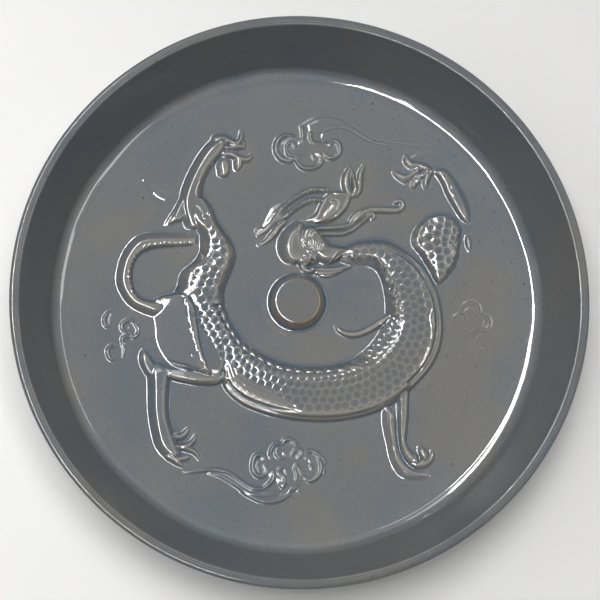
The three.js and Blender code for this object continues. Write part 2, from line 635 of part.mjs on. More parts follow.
const foreShinLower = strands([
  [[37.3, -33.4, 1.6, 0.9], [37, -38, 1.8, 0.9], [36.9, -42.6, 1.7, 0.88], [36.9, -46.4, 1.2, 0.8],
    [37.2, -49.4, 1.1, 0.75], [38.4, -52.4, 1.3, 0.75], [40.4, -54.6, 1.4, 0.7]],
], limbHeight, 3.6);

const forePawLower = strands([
  [[41, -55, 1.1, 0.66], [42, -53.4, 0.8, 0.6], [41.2, -51.8, 0.4, 0.4]],
  [[41.6, -55.4, 1.1, 0.66], [44.2, -53.8, 0.9, 0.6], [43.8, -51.4, 0.7, 0.5], [42.8, -49.2, 0.35, 0.35]],
  [[41.8, -55.8, 1, 0.6], [45.2, -54.8, 0.9, 0.55], [46.8, -52.8, 0.6, 0.45], [46, -50.6, 0.35, 0.35]],
], limbHeight, 3, rollSection);

// Clouds

const cloudTopPad = strands([
  [[-6.6, 58, 3.2, 1], [-2, 57.4, 4.6, 1], [3, 56.6, 5.4, 1], [8, 57.2, 4.4, 1], [13, 58.4, 2.6, 1]],
], padHeight, 5, rollSection);

const cloudTopScrolls = strands([
  [[0.2, 61.6, 0.6, 0.7], [-3, 62.6, 0.8, 1], [-6.4, 61.8, 0.9, 1], [-8, 58.8, 0.9, 1],
    [-7.6, 55.8, 0.9, 1], [-5.2, 53.6, 0.9, 1], [-1.6, 53.6, 0.7, 0.8]],
  [[-1.6, 57, 0.6, 0.8], [-3.6, 57.6, 0.7, 0.9], [-3.4, 59.8, 0.7, 0.9], [-1, 60.6, 0.7, 0.9],
    [0.6, 59.2, 0.6, 0.8], [-0.6, 58, 0.5, 0.7]],
  [[0.2, 55.2, 0.6, 0.8], [0, 53, 0.8, 1], [2.6, 51, 0.8, 1], [6, 51, 0.8, 1], [8.6, 52.8, 0.8, 1],
    [8.6, 55, 0.6, 0.9], [6.2, 55.6, 0.5, 0.8]],
  [[10, 55.4, 0.6, 0.8], [13.2, 55.2, 0.8, 1], [15, 57.4, 0.8, 1], [14.8, 60.2, 0.8, 1],
    [12.4, 61.2, 0.7, 0.9], [10.8, 59.8, 0.5, 0.8]],
  [[1.6, 60.6, 0.5, 0.7], [2.2, 63.4, 1, 1], [3.2, 66, 1.5, 1]],
  [[4.9, 59.6, 0.5, 0.8], [4.9, 62.4, 0.7, 1], [4.6, 65, 0.6, 0.9]],
], cloudHeight, 3, rollSection);

const cloudTopTail = strands([
  [[4.4, 67, 1.4, 0.8], [8, 68, 1.8, 0.9], [13, 67.6, 1.7, 0.9], [18.4, 66, 1.4, 0.85],
    [23.4, 63.2, 1.1, 0.75], [28.4, 61, 0.9, 0.65], [35, 60.1, 0.8, 0.55], [41, 60, 0.6, 0.45],
    [47, 60.2, 0.4, 0.3]],
], cloudHeight, 5, rollSection);

const cloudBottomPad = strands([
  [[-14, -56, 2.6, 1], [-9.6, -55.6, 4.6, 1], [-4, -55, 6.6, 1], [2, -55.8, 5.4, 1], [7.6, -56.4, 3.2, 1]],
], padHeight, 5, rollSection);

const cloudBottomScrolls = strands([
  [[-10.2, -52.6, 0.6, 0.8], [-12.8, -52.4, 0.8, 1], [-15.2, -54, 0.9, 1], [-15.6, -57, 0.9, 1],
    [-13.8, -59.2, 0.8, 1], [-11.4, -58.6, 0.7, 0.9], [-11.6, -56.8, 0.5, 0.8]],
  [[-8.6, -53.6, 0.6, 0.8], [-9.2, -51, 0.8, 1], [-7.4, -48.8, 0.8, 1], [-4, -47.6, 0.8, 1],
    [-0.8, -48.2, 0.8, 1], [1.2, -50.2, 0.8, 1], [0.8, -52.4, 0.7, 0.9], [-1.2, -52.6, 0.5, 0.8]],
  [[-6.2, -51, 0.5, 0.7], [-7.2, -52.6, 0.6, 0.8], [-5.8, -53.8, 0.6, 0.8], [-4.4, -52.6, 0.5, 0.7]],
  [[2.6, -51.2, 0.6, 0.8], [5.6, -51, 0.8, 1], [8.2, -53, 0.9, 1], [8.8, -56.4, 0.9, 1],
    [7.8, -59.6, 0.9, 1], [4.4, -61.2, 0.8, 1], [1.8, -60.4, 0.6, 0.8]],
  [[-1.4, -60.6, 0.5, 0.8], [-0.8, -58.2, 0.6, 0.9], [-0.2, -56.2, 0.6, 0.9], [2, -56, 0.6, 0.9],
    [3.4, -57.6, 0.6, 0.9], [5, -56.6, 0.6, 0.8]],
  [[-9, -58.4, 0.6, 0.8], [-9.6, -60.8, 0.8, 1], [-11.2, -63, 0.6, 0.9]],
  [[-6, -57.6, 0.5, 0.8], [-5, -59.8, 0.7, 1], [-5.4, -62.4, 0.9, 1], [-4.2, -64.4, 0.7, 0.9]],
], cloudHeight, 3, rollSection);

const cloudBottomTail = strands([
  [[-0.6, -63.2, 0.9, 0.8], [-2.6, -65.4, 1.4, 0.9], [-7, -66.6, 1.8, 0.9], [-12, -66.2, 2, 0.9],
    [-17.4, -64.4, 1.6, 0.85], [-22.4, -61.6, 1.3, 0.75], [-28, -59, 1.1, 0.65], [-34, -58.4, 0.9, 0.55],
    [-40, -58.2, 0.6, 0.45], [-45, -57.4, 0.4, 0.3]],
], cloudHeight, 5, rollSection);

const cloudLeftPad = strands([
  [[-68.6, -5, 1.6, 1], [-65.6, -7.6, 2.6, 1], [-62.4, -11, 3.4, 1], [-63.6, -15.4, 2.6, 1],
    [-66.6, -18.6, 1.8, 1]],
], padHeight, 5, rollSection);

const cloudLeftScrolls = strands([
  [[-68.2, -4, 0.5, 0.8], [-69.5, -6.2, 0.6, 0.9], [-68.8, -8.8, 0.5, 0.8]],
  [[-61.8, -7.4, 0.5, 0.8], [-63.2, -8.2, 0.6, 0.9], [-62.6, -9.8, 0.6, 0.9]],
  [[-59.8, -9.4, 0.5, 0.8], [-58.9, -11, 0.6, 0.9], [-59.8, -12.5, 0.5, 0.8]],
  [[-62, -12.4, 0.5, 0.8], [-63.3, -13.6, 0.6, 0.9], [-62.2, -14.9, 0.5, 0.8]],
  [[-66.8, -16.6, 0.5, 0.8], [-68, -18.6, 0.6, 0.9], [-66.6, -20.2, 0.5, 0.8]],
], cloudHeight, 2.4, rollSection);

const cloudRightPad = strands([
  [[64, 1.2, 2.8, 1], [62.8, -2.4, 4.4, 1], [63, -6.4, 5, 1], [63.8, -10.4, 3.6, 1], [64.2, -13, 1.8, 1]],
], padHeight, 5, rollSection);

const cloudRightScrolls = strands([
  [[60.4, 0.8, 0.5, 0.6], [61.8, 3.2, 0.7, 0.75], [64.8, 3.6, 0.7, 0.75], [67, 1.6, 0.7, 0.75],
    [66.6, -1, 0.5, 0.6]],
  [[60.2, -1.2, 0.5, 0.6], [57.2, -2.6, 0.7, 0.75], [56.4, -5.6, 0.7, 0.75], [58.6, -7.8, 0.7, 0.75],
    [60.8, -6.4, 0.5, 0.6]],
  [[60.6, -10.4, 0.5, 0.6], [61.8, -13.2, 0.7, 0.75], [64.6, -14.2, 0.7, 0.75], [67, -12.2, 0.6, 0.7],
    [67.2, -9.6, 0.5, 0.6]],
], cloudHeight, 3, rollSection);

// The relief spreads with the floor, so that its furthest point keeps its margin to the wall
const drawnReach = Math.max(...drawn.map(([x, y, halfWidth]) => Math.hypot(x, y) + halfWidth));
const spread = (floorRadius - reliefMargin) / drawnReach;

const together = (...parts) => (grow) => parts.map((part) => part(grow)).reduce((a, b) => a.add(b));

// The relief in the order in which it is luted: a later piece is trimmed to fit the earlier
// ones, with the slip joint's clearance between them
const relief = [
  ['dragon_torso', (grow) => hide(coil, torsoHide, grow)],
  ['spine_crest', crest],
  ['belly_band_upper', bandUpper],
  ['belly_band_lower', bandLower],
  ['dragon_head', headForm],
  ['dragon_neck', (grow) => hide(coil, neckHide, grow)],
  ['hind_thigh_upper', (grow) => hide(coil, thighHide, grow)],
  ['fore_arm_upper', (grow) => hide(upperArm, armHide, grow)],
  ['jaw_beard', jawBeard],
  ['mane', mane],
  ['ear', ear],
  ['ear_tuft', earTuft],
  ['horn_upper', hornUpper],
  ['horn_lower', hornLower],
  ['whisker_upper', whiskerUpper],
  ['whisker_lower', whiskerLower],
  ['back_fin', backFin],
  ['hind_thigh_lower', hindThighLower],
  ['hip', hip],
  ['tail', tail],
  ['hind_shin_lower', hindShinLower],
  ['heel_spur_lower', heelSpurLower],
  ['hind_paw_lower', hindPawLower],
  ['hind_shin_upper', hindShinUpper],
  ['heel_spur_upper', heelSpurUpper],
  ['hind_paw_upper', hindPawUpper],
  ['flame_upper_left', flameUpperLeft],
  ['forearm_upper', forearmUpper],
  ['elbow_spur', elbowSpur],
  ['fore_paw_upper', forePawUpper],
  ['flame_ribbon_right', flameRibbonRight],
  ['fore_shin_lower', foreShinLower],
  ['fore_paw_lower', forePawLower],
  ['fore_flame_lower', foreFlameLower],
  ['flame_ribbon_lower', flameRibbonLower],
  ['cloud_top', together(cloudTopPad, cloudTopScrolls)],
  ['cloud_top_tail', cloudTopTail],
  ['cloud_bottom', together(cloudBottomPad, cloudBottomScrolls)],
  ['cloud_bottom_tail', cloudBottomTail],
  ['cloud_left', together(cloudLeftPad, cloudLeftScrolls)],
  ['cloud_right', together(cloudRightPad, cloudRightScrolls)],
];

const group = new THREE.Group();
group.add(finish('washer_body', basin()));
group.add(finish('pearl_boss', pearl(), thinGlaze));

const luted = [toSolid(pearl(clearance))];
for (const [name, build] of relief) {
  const trimmed = luted.reduce((solid, neighbour) => solid.subtract(neighbour), build(0));
  group.add(finish(name, trimmed));
  luted.push(build(clearance));
}

export default group;
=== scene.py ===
import math

import bmesh
import bpy
import numpy as np
from mathutils import Matrix, Vector


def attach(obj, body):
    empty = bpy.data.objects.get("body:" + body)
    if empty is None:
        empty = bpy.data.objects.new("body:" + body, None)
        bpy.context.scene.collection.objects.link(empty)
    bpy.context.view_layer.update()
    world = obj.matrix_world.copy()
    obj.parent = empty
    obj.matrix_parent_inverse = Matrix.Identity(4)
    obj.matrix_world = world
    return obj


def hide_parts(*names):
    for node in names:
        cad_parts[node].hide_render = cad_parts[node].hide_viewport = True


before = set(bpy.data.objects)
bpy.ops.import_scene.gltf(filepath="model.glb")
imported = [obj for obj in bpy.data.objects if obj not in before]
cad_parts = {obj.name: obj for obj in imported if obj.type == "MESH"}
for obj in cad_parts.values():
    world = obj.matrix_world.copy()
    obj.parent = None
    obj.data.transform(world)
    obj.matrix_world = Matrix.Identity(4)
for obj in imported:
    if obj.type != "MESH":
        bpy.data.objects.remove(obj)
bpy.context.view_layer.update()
mm = 0.001


# A socket that takes part in sums, each of which adds its Math node

class Shade:
    def __init__(self, tree, socket):
        self.tree = tree
        self.socket = socket

    def maths(self, operation, first, second):
        return self.tree.node("ShaderNodeMath", {"operation": operation}, {0: first, 1: second})

    def __add__(self, other):
        return self.maths("ADD", self, other)

    def __radd__(self, other):
        return self.maths("ADD", other, self)

    def __sub__(self, other):
        return self.maths("SUBTRACT", self, other)

    def __rsub__(self, other):
        return self.maths("SUBTRACT", other, self)

    def __mul__(self, other):
        return self.maths("MULTIPLY", self, other)

    def __rmul__(self, other):
        return self.maths("MULTIPLY", other, self)

    def between(self, low, high):
        # 0 up to low, 1 from high on, eased on the way
        return self.tree.node("ShaderNodeMapRange", {"interpolation_type": "SMOOTHSTEP"},
                              {"Value": self, "From Min": low, "From Max": high})


class ShadeTree:
    def __init__(self, owner):
        self.owner = owner
        owner.use_nodes = True
        self.nodes = owner.node_tree.nodes
        self.links = owner.node_tree.links
        self.nodes.clear()

    def node(self, kind, settings=None, values=None, output=0):
        made = self.nodes.new(kind)
        for key, value in (settings or {}).items():
            setattr(made, key, value)
        for key, value in (values or {}).items():
            if isinstance(value, Shade):
                self.links.new(value.socket, made.inputs[key])
            elif made.inputs[key].type == "RGBA":
                made.inputs[key].default_value = (*value, 1)
            else:
                made.inputs[key].default_value = value
        return Shade(self, made.outputs[output]) if made.outputs else made

    def mix(self, first, second, factor):
        return self.node("ShaderNodeMix", {"data_type": "RGBA"}, {0: factor, 6: first, 7: second}, 2)

    def noise(self, where, scale, detail, roughness=0.5):
        return self.node("ShaderNodeTexNoise", None,
                         {"Vector": where, "Scale": scale, "Detail": detail, "Roughness": roughness})

    def attribute(self, name):
        return self.node("ShaderNodeAttribute", {"attribute_name": name}, None, 2)


# Glaze: grey-blue where it lies evenly, bluer and darker where it pools and lighter or brown where it runs
# thin. The pooled colour is also a painted shade at the feet of forms and in hollows, the thin one is in
# part a painted highlight along ridges and edges, and the wall has a painted shade

glaze = {
    "grey": (0.158, 0.166, 0.172),
    "warmPatch": (0.178, 0.176, 0.166),
    "bluePatch": (0.132, 0.156, 0.178),
    # Pooled glaze, darkened so that it is also a painted shade where forms meet the floor and in hollows
    "pooledAndShade": (0.046, 0.082, 0.120),
    # Thin glaze, made light so that it is also a painted highlight along ridges and edges
    "thin": (0.310, 0.294, 0.256),
    "thinnest": (0.290, 0.135, 0.070),
    "chalk": (0.44, 0.46, 0.47),
    "iron": (0.040, 0.027, 0.020),
    "bareClay": (0.270, 0.165, 0.095),
    "patchScale": 24.0,  # noise cells a metre, as the other scales are
    "mottleScale": 260.0,
    "grainScale": 1700.0,
    "pinholeScale": 230.0,
    "pinholeSize": 0.13,  # share of its cell
    "speckScale": 95.0,
    "speckSize": 0.05,
    "pooledShare": 0.7,  # how strongly each of these colours shows at its fullest
    "thinShare": 0.75,
    "rustShare": 0.6,
    "chalkShare": 0.16,
    "pinholeShare": 0.38,
    "speckShare": 0.7,
    "paintedWallShadeShare": 0.45,
    "gloss": 0.035,
    "glossSpread": 0.04,
    "waveScale": 120.0,
    "waveDepth": 0.00005,  # metres, as the other depths are
    "peelScale": 900.0,
    "peelDepth": 0.0000035,
    "pinholeDepth": 0.00002,
    "satinRoughness": 0.3,  # of the wall, where the glaze lies thin
    "satinSpecular": 0.06,
    # A painted shade: the colour of the wall and of the lip's top is darkened towards this
    "paintedWallShade": (0.120, 0.128, 0.134),
    "thinStart": 0.08,  # mm of missing glaze at which the clay starts to show
    "thinReach": 0.42,
    "rustReach": (0.55, 1.1),  # mm past that where it shows brown
    "pooledStart": 0.08,
    "pooledReach": 0.5,
}
pearlGlaze = {**glaze, "grey": (0.166, 0.164, 0.158), "thinStart": 0.10, "thin": (0.235, 0.165, 0.105)}


def glazeMaterial(name, look):
    tree = ShadeTree(bpy.data.materials.new(name))
    where = tree.node("ShaderNodeTexCoord", None, None, 3)
    # High where glaze pools and where shade is painted, low where glaze runs thin and where highlight is
    # painted
    poolAndShade = tree.attribute("poolAndShade")  # how much thicker than usual the glaze lies, in mm
    bare = tree.attribute("bare")  # 1 where the foot was wiped clean
    patches = tree.noise(where, look["patchScale"], 3.0, 0.55)
    mottle = tree.noise(where, look["mottleScale"], 4.0, 0.6)
    grain = tree.noise(where, look["grainScale"], 2.0)
    colour = tree.mix(look["grey"], look["warmPatch"], patches.between(0.50, 0.66))
    colour = tree.mix(colour, look["bluePatch"], 1 - patches.between(0.34, 0.49))
    filled = poolAndShade + (mottle - 0.5) * 0.10
    thick = filled.between(look["pooledStart"], look["pooledStart"] + look["pooledReach"])
    colour = tree.mix(colour, look["pooledAndShade"], thick * look["pooledShare"])
    # Where glaze is missing, on ridges and edges, the lighter colour is partly a painted highlight
    missing = (mottle - 0.5) * 0.12 - poolAndShade
    thin = missing.between(look["thinStart"], look["thinStart"] + look["thinReach"])
    colour = tree.mix(colour, look["thin"], thin * look["thinShare"])
    rustFrom, rustTo = (look["thinStart"] + reach for reach in look["rustReach"])
    rust = missing.between(rustFrom, rustTo) * mottle.between(0.44, 0.60)
    colour = tree.mix(colour, look["thinnest"], rust * look["rustShare"])
    colour = tree.mix(colour, look["chalk"], grain.between(0.52, 0.80) * look["chalkShare"])
    pits = tree.node("ShaderNodeTexVoronoi", None, {"Vector": where, "Scale": look["pinholeScale"]})
    pit = 1 - pits.between(look["pinholeSize"] * 0.5, look["pinholeSize"])
    specks = tree.node("ShaderNodeTexVoronoi", None, {"Vector": where, "Scale": look["speckScale"]})
    speck = 1 - specks.between(look["speckSize"] * 0.6, look["speckSize"])
    colour = tree.mix(colour, look["iron"], pit * look["pinholeShare"])
    colour = tree.mix(colour, look["iron"], speck * look["speckShare"])
    colour = tree.mix(colour, look["bareClay"], bare)
    roughness = look["gloss"] + mottle * look["glossSpread"] + pit * 0.2 + bare * 0.6
    wave = tree.noise(where, look["waveScale"], 1.0, 0.4)
    peel = tree.noise(where, look["peelScale"], 2.0)
    height = wave * look["waveDepth"] + peel * look["peelDepth"] - pit * look["pinholeDepth"]
    skin = tree.node("ShaderNodeBump", None, {"Height": height, "Strength": 1.0, "Distance": 1.0})
    glossy = tree.node("ShaderNodeBsdfPrincipled", None,
                       {"Base Color": colour, "Roughness": roughness, "IOR": 1.5, "Normal": skin})
    # The satin finish also takes the painted wall shade into its colour
    satinAndShade = tree.node("ShaderNodeBsdfPrincipled", None,
                      {"Base Color": tree.mix(colour, look["paintedWallShade"], look["paintedWallShadeShare"]), "IOR": 1.5,
                       "Roughness": look["satinRoughness"], "Normal": skin,
                       "Specular IOR Level": look["satinSpecular"]})
    shader = tree.node("ShaderNodeMixShader", None, {0: tree.attribute("satinAndShade"), 1: glossy, 2: satinAndShade})
    tree.node("ShaderNodeOutputMaterial", None, {"Surface": shader})
    return tree.owner


glazeSkin = glazeMaterial("blueGreyGlaze", glaze)
pearlSkin = glazeMaterial("thinGlaze", pearlGlaze)
print("glazes mixed")


def settle(name, bm, skin, node):
    # Ends a piece: its mesh in metres, its finish, and the solid of the frame that it stands for
    mesh = bpy.data.meshes.new(name)
    bm.to_mesh(mesh)
    bm.free()
    mesh.transform(Matrix.Scale(mm, 4))
    mesh.materials.append(skin)
    mesh.polygons.foreach_set("use_smooth", [True] * len(mesh.polygons))
    piece = bpy.data.objects.new(name, mesh)
    bpy.context.scene.collection.objects.link(piece)
    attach(piece, "root")
    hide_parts(node)
    return piece


def paint(piece, name, values):
    # Keeps one number for each vertex, which the glaze reads
    painted = piece.data.attributes.new(name, "FLOAT", "POINT")
    painted.data.foreach_set("value", np.array(values, np.float32))


# Turned pieces

def rounded(corners):
    # Points of a profile whose corners are [radius, height, rounding, steps]
    outline = []
    for i, (r, z, radius, steps) in enumerate(corners):
        corner = Vector((r, z))
        if not radius:
            outline.append(corner)
            continue
        into = (Vector(corners[i - 1][:2]) - corner).normalized()
        out = (Vector(corners[i + 1][:2]) - corner).normalized()
        half = into.angle(out) / 2
        middle = corner + (into + out).normalized() * (radius / math.sin(half))
        first = corner + into * (radius / math.tan(half)) - middle
        sweep = (corner + out * (radius / math.tan(half)) - middle).angle_signed(first)
        outline += [middle + Matrix.Rotation(sweep * k / steps, 2) @ first for k in range(steps + 1)]
    return outline


def turned(outline, steps, middle=(0, 0)):
    bm = bmesh.new()
    ring = [bm.verts.new((middle[0] + p.x, middle[1], p.y)) for p in outline]
    edges = [bm.edges.new(pair) for pair in zip(ring, ring[1:])]
    bmesh.ops.spin(bm, geom=ring + edges, cent=(*middle, 0), axis=(0, 0, 1), angle=math.tau,
                   steps=steps, use_merge=True, use_duplicate=False)
    bmesh.ops.remove_doubles(bm, verts=bm.verts, dist=0.0005)
    bmesh.ops.recalc_face_normals(bm, faces=bm.faces)
    return bm


basin = {
    "rimRadius": 99.985,
    "height": 35.0,
    "lean": 21.7,  # of the inside, degrees from upright
    "outerRun": 10.1,  # how far the outside leans out over its height
    "lipThickness": 3.4,
    "underside": 3.0,
    "floor": 8.0,
    "footOuter": 75.0,
    "footInner": 70.0,
    "footTaper": 0.8,
    "heelRise": 0.8,
    "cavetto": 7.0,
    "heel": 6.0,
    "lipOuterRound": 1.7,
    "lipInnerRound": 1.15,
    "footRound": 0.5,
    "turns": 288,
    "lipRings": (1.5, 1.28, 1.05),  # where the lip's top is parted, out from its inside
    "floorRing": 60,
    "wallWaves": [(0.14, 7, 1.1), (0.11, 12, 0.4), (0.06, 29, 2.0)],  # height, how many round it, start
    "ridge": 0.06,  # height of the ridges round the floor's edge
    "ridgesPerMm": 2.9,  # radians
    "ridgeStart": -1.02,
    "ridgesAt": -46,  # degrees from +x where they are highest
    "ridgeTwist": 0.03,
    "clayShowsOver": 0.525,  # how strongly the clay shows along the lip's edges
    "lipLines": [(96.95, 0.2, 1), (97.85, 0.16, 0.8), (97.4, 0.18, -0.5)],  # radius, width and strength
    "dripWaves": [(0.12, 9, 0.7), (0.08, 23, 2.1), (0.05, 51, 0.0)],
    "cavettoPool": 0.16,
    "lipPool": 0.12,
    "footThin": 0.3,
    "wiped": 1.1,  # how far up the foot has no glaze
}
floorZ = basin["floor"]


def basinOutline(b):
    rise = b["height"] - b["floor"]
    run = rise * math.tan(math.radians(b["lean"]))
    floorRadius = b["rimRadius"] - b["lipThickness"] - run
    half = (math.pi / 2 - math.atan(b["outerRun"] / rise)) / 2
    lipCorner = b["rimRadius"] + b["lipOuterRound"] * (1 / math.tan(half) - 1)
    heelZ = b["underside"] + b["heelRise"]
    heelRadius = lipCorner - (b["height"] - heelZ) * b["outerRun"] / rise
    return rounded([
        [0, b["underside"], 0, 0],
        [b["footInner"], b["underside"], b["footRound"], 4],
        [b["footInner"] + b["footTaper"], 0, b["footRound"], 6],
        [b["footOuter"] - b["footTaper"], 0, b["footRound"], 6],
        [b["footOuter"], b["underside"], b["footRound"], 4],
        [heelRadius, heelZ, b["heel"], 12],
        [lipCorner, b["height"], b["lipOuterRound"], 14],
        *([b["rimRadius"] - b["lipThickness"] + r, b["height"], 0, 0] for r in b["lipRings"]),
        [b["rimRadius"] - b["lipThickness"], b["height"], b["lipInnerRound"], 10],
        [floorRadius, b["floor"], b["cavetto"], 36],
        [b["floorRing"], b["floor"], 0, 0],
        [0, b["floor"], 0, 0],
    ])


def eased(values, low, high):
    share = np.clip((values - low) / (high - low), 0, 1)
    return share * share * (3 - 2 * share)


def plateau(values, low, full, ebb, high):
    # 0 up to low and from high on, 1 between full and ebb
    return eased(values, low, full) * (1 - eased(values, ebb, high))


def ripples(angle, waves):
    return sum(height * np.sin(angle * count + start) for height, count, start in waves)


def placesOf(piece):
    co = np.empty(len(piece.data.vertices) * 3)
    piece.data.vertices.foreach_get("co", co)
    return co.reshape(-1, 3) / mm


washer = settle("glazedBasin", turned(basinOutline(basin), basin["turns"]), glazeSkin,
                "washer_body")
places = placesOf(washer)
radius = np.hypot(places[:, 0], places[:, 1])
angle = np.arctan2(places[:, 1], places[:, 0])
up = places[:, 2]
# The thrower's fingers left the inside of the wall a little uneven
inside = plateau(up, floorZ, 10.5, 26, 32) * (radius > 78) * (radius < 97)
outward = 1 + inside * ripples(angle, basin["wallWaves"]) / np.maximum(radius, 1)
# and left low ridges side by side round the edge of the floor, most of all at the lower right
turnedBy = np.degrees(angle)
ridged = 0.3 + 0.7 * plateau(turnedBy, -74, -56, -40, -24)
ridged *= (radius > 78) & (radius < 92) & (up > 7.9)
arc = basin["cavetto"] * np.arccos(np.clip(1 - (up - floorZ) / basin["cavetto"], -1, 1))
twist = (turnedBy - basin["ridgesAt"]) * basin["ridgeTwist"]
wave = np.sin(arc * basin["ridgesPerMm"] + basin["ridgeStart"] + twist)
lifted = up + basin["ridge"] * ridged * plateau(arc, 0.2, 0.8, 4, 5) * wave
moved = np.stack([places[:, 0] * outward, places[:, 1] * outward, lifted], 1)
washer.data.vertices.foreach_set("co", (moved * mm).ravel())

lipRim = eased(up, 33.4, 34.6)
lipTop = np.exp(-((radius - 98.6) / 0.6) ** 2) * (up > 34.5)
lipLines = sum(strength * np.exp(-((radius - middle) / width) ** 2)
               for middle, width, strength in basin["lipLines"])
drips = ripples(angle, basin["dripWaves"])
inCavetto = eased(radius, 79, 84) * (1 - eased(up, 9, 16)) * (up > 7.9)
poolAndShade = inCavetto * basin["cavettoPool"] + lipTop * basin["lipPool"]
poolAndShade -= lipRim * (lipLines * (basin["clayShowsOver"] + drips) + 0.5 * drips)
footSide = (radius < 77) & (up < 2.9) & (radius > 69)
paint(washer, "poolAndShade", poolAndShade - basin["footThin"] * footSide * (up > 1.2))
paint(washer, "bare", ((up < basin["wiped"]) & footSide).astype(float))
# Where the satin finish and the painted wall shade lie: the inner wall and the lip's top
onWall = (up > 7.9) & (radius > 80) & (radius < 98.2 - (basin["height"] - up) * 0.38)
satinAndShade = np.maximum(eased(up, 9.9, 12.6) * onWall, up > 34.2)
paint(washer, "satinAndShade", satinAndShade * (1 - 0.25 * eased(up, 34.3, 34.7)))

pearl = {
    "middle": (-0.2, 2.0),
    "radius": 10.3,
    "height": 4.2,
    "draft": 2.3,
    "edge": 1.3,
    "slip": 1.6,  # the fillet of slip and glaze round its foot
    "crown": 0.12,
    "turns": 192,
    "brownRing": (7.2, 7.8, 8.3, 8.8),  # radii where it starts, is full, ebbs and ends
    "pooledRing": (8.5, 9.2, 10.8, 11.6),
    "pooledAndShade": 0.5,
    "browned": 0.16,
    "brownedBelow": 0.5,  # on the side that points down and to the left
}


def pearlOutline(p):
    top = floorZ + p["height"]
    return rounded([
        [0, floorZ - 0.3, 0, 0],
        [p["radius"] + p["slip"] + 0.5, floorZ - 0.3, 0, 0],
        [p["radius"] + p["slip"] + 0.5, floorZ + 0.01, 0, 0],
        [p["radius"] + p["slip"] + 0.46, floorZ + 0.01, 0, 0],
        [p["radius"], floorZ + 0.01, p["slip"], 12],
        [p["radius"] - p["draft"], top, p["edge"], 12],
        [0, top + p["crown"], 0, 0],
    ])


pearlBoss = settle("pearlBoss", turned(pearlOutline(pearl), pearl["turns"], pearl["middle"]), pearlSkin,
                   "pearl_boss")
places = placesOf(pearlBoss)
away = np.hypot(places[:, 0] - pearl["middle"][0], places[:, 1] - pearl["middle"][1])
edgeBrown = plateau(away, *pearl["brownRing"])
ringPool = plateau(away, *pearl["pooledRing"])
lowSide = 0.5 + 0.5 * np.sin(np.arctan2(places[:, 1] - pearl["middle"][1], places[:, 0]) + 2.5)
browned = edgeBrown * (pearl["browned"] + pearl["brownedBelow"] * lowSide)
paint(pearlBoss, "poolAndShade", ringPool * pearl["pooledAndShade"] - browned)
print("basin and pearl turned")


# Relief: each clay form is drawn as a height over one square lattice on the washer's floor

canvas = {
    "step": 0.15,
    "reach": 79.2,
    "trail": 0.2,  # spacing of the places at which a strand or a fine line is pressed in
    "thinnest": 0.3,  # least half width of a strand
    "fade": 0.8,  # length over which a fine line fades at its ends
    "far": 9.0,  # further than anything looked for round a place
    "formSoftness": 0.22,  # how much glaze and slip round the clay's edges, as the next one is
    "scoreSoftness": 0.10,
    "scoreFoot": (0.05, 0.9),  # heights of the clay between which its fine lines fade in
    "poolReach": 0.55,
    "poolMost": 0.7,
    "shadowReach": 1.7,  # a painted shadow: darker beyond the +y side of each form and lighter on its -y side
    "shadowDrift": 1.2,
    "shadowShare": 0.3,
    "claimReach": 1.1,  # how far from its clay a piece takes the glaze
    "skin": 0.004,  # least height that belongs to a piece
    "halo": 0.02,  # least pooling that belongs to a piece
    "sunk": 0.35,  # how deep a piece goes into the floor
}
marks = {
    "bead": (0.6, 0.75, 1.75),  # radius, height and spacing of a row of knobs
    "jag": (0.8, 0.2, 1.3, 0.5),  # and how far each is to one side
    "rib": (0.95, 0.42),  # spacing and height
    "edgeInset": 0.75,  # share of a strand's half width
    "edgeShade": (1.4, 0, -0.35),  # half width, height and missing glaze of the painted shade along the middle of a strand with sheen edges
}
step, far, trailStep = canvas["step"], canvas["far"], canvas["trail"]
axis = np.arange(-canvas["reach"], canvas["reach"] + step / 2, step)
cells = len(axis)
scores = np.zeros((cells, cells), np.float32)
scalePool = np.zeros_like(scores)
drawn = {}


def window(x, y, radius):
    # The part of the lattice round a point, and how far each of its places is from the point
    left, low = (int((v - radius - axis[0]) / step) for v in (x, y))
    right, high = (int((v + radius - axis[0]) / step) + 2 for v in (x, y))
    across, up = np.meshgrid(axis[left:right] - x, axis[low:high] - y)
    return np.s_[low:high, left:right], across, up


def curveAt(points, t):
    # A smooth curve through the points, where t counts the points passed
    p = np.array(points, float)
    p = np.vstack([2 * p[0] - p[1], p, 2 * p[-1] - p[-2]])
    i = np.clip(t.astype(int), 0, len(points) - 2)
    u = (t - i)[:, None]
    a, b, c, d = p[i], p[i + 1], p[i + 2], p[i + 3]
    bend, turn = 2 * a - 5 * b + 4 * c - d, 3 * b - a - 3 * c + d
    return 0.5 * (2 * b + (c - a) * u + bend * u ** 2 + turn * u ** 3)


def evenly(line, spacing):
    # Samples of a line at even distances
    lengths = np.concatenate([[0], np.cumsum(np.hypot(*np.diff(line[:, :2], axis=0).T))])
    at = np.linspace(0, lengths[-1], max(2, int(lengths[-1] / spacing) + 1))
    return np.stack([np.interp(at, lengths, column) for column in line.T], 1)


def follow(points, spacing):
    return evenly(curveAt(points, np.linspace(0, len(points) - 1, 14 * len(points))), spacing)


def stroke(field, strand, height, flat):
    # Lays one strand, whose points are [x, y, half width, share of the height]
    for x, y, halfWidth, share in follow(strand, trailStep):
        halfWidth = max(halfWidth, canvas["thinnest"])
        part, across, up = window(x, y, halfWidth)
        form = np.clip((1 - np.hypot(across, up) / halfWidth) / (1 - flat), 0, 1) * (share * height)
        np.maximum(field[part], form, out=field[part])


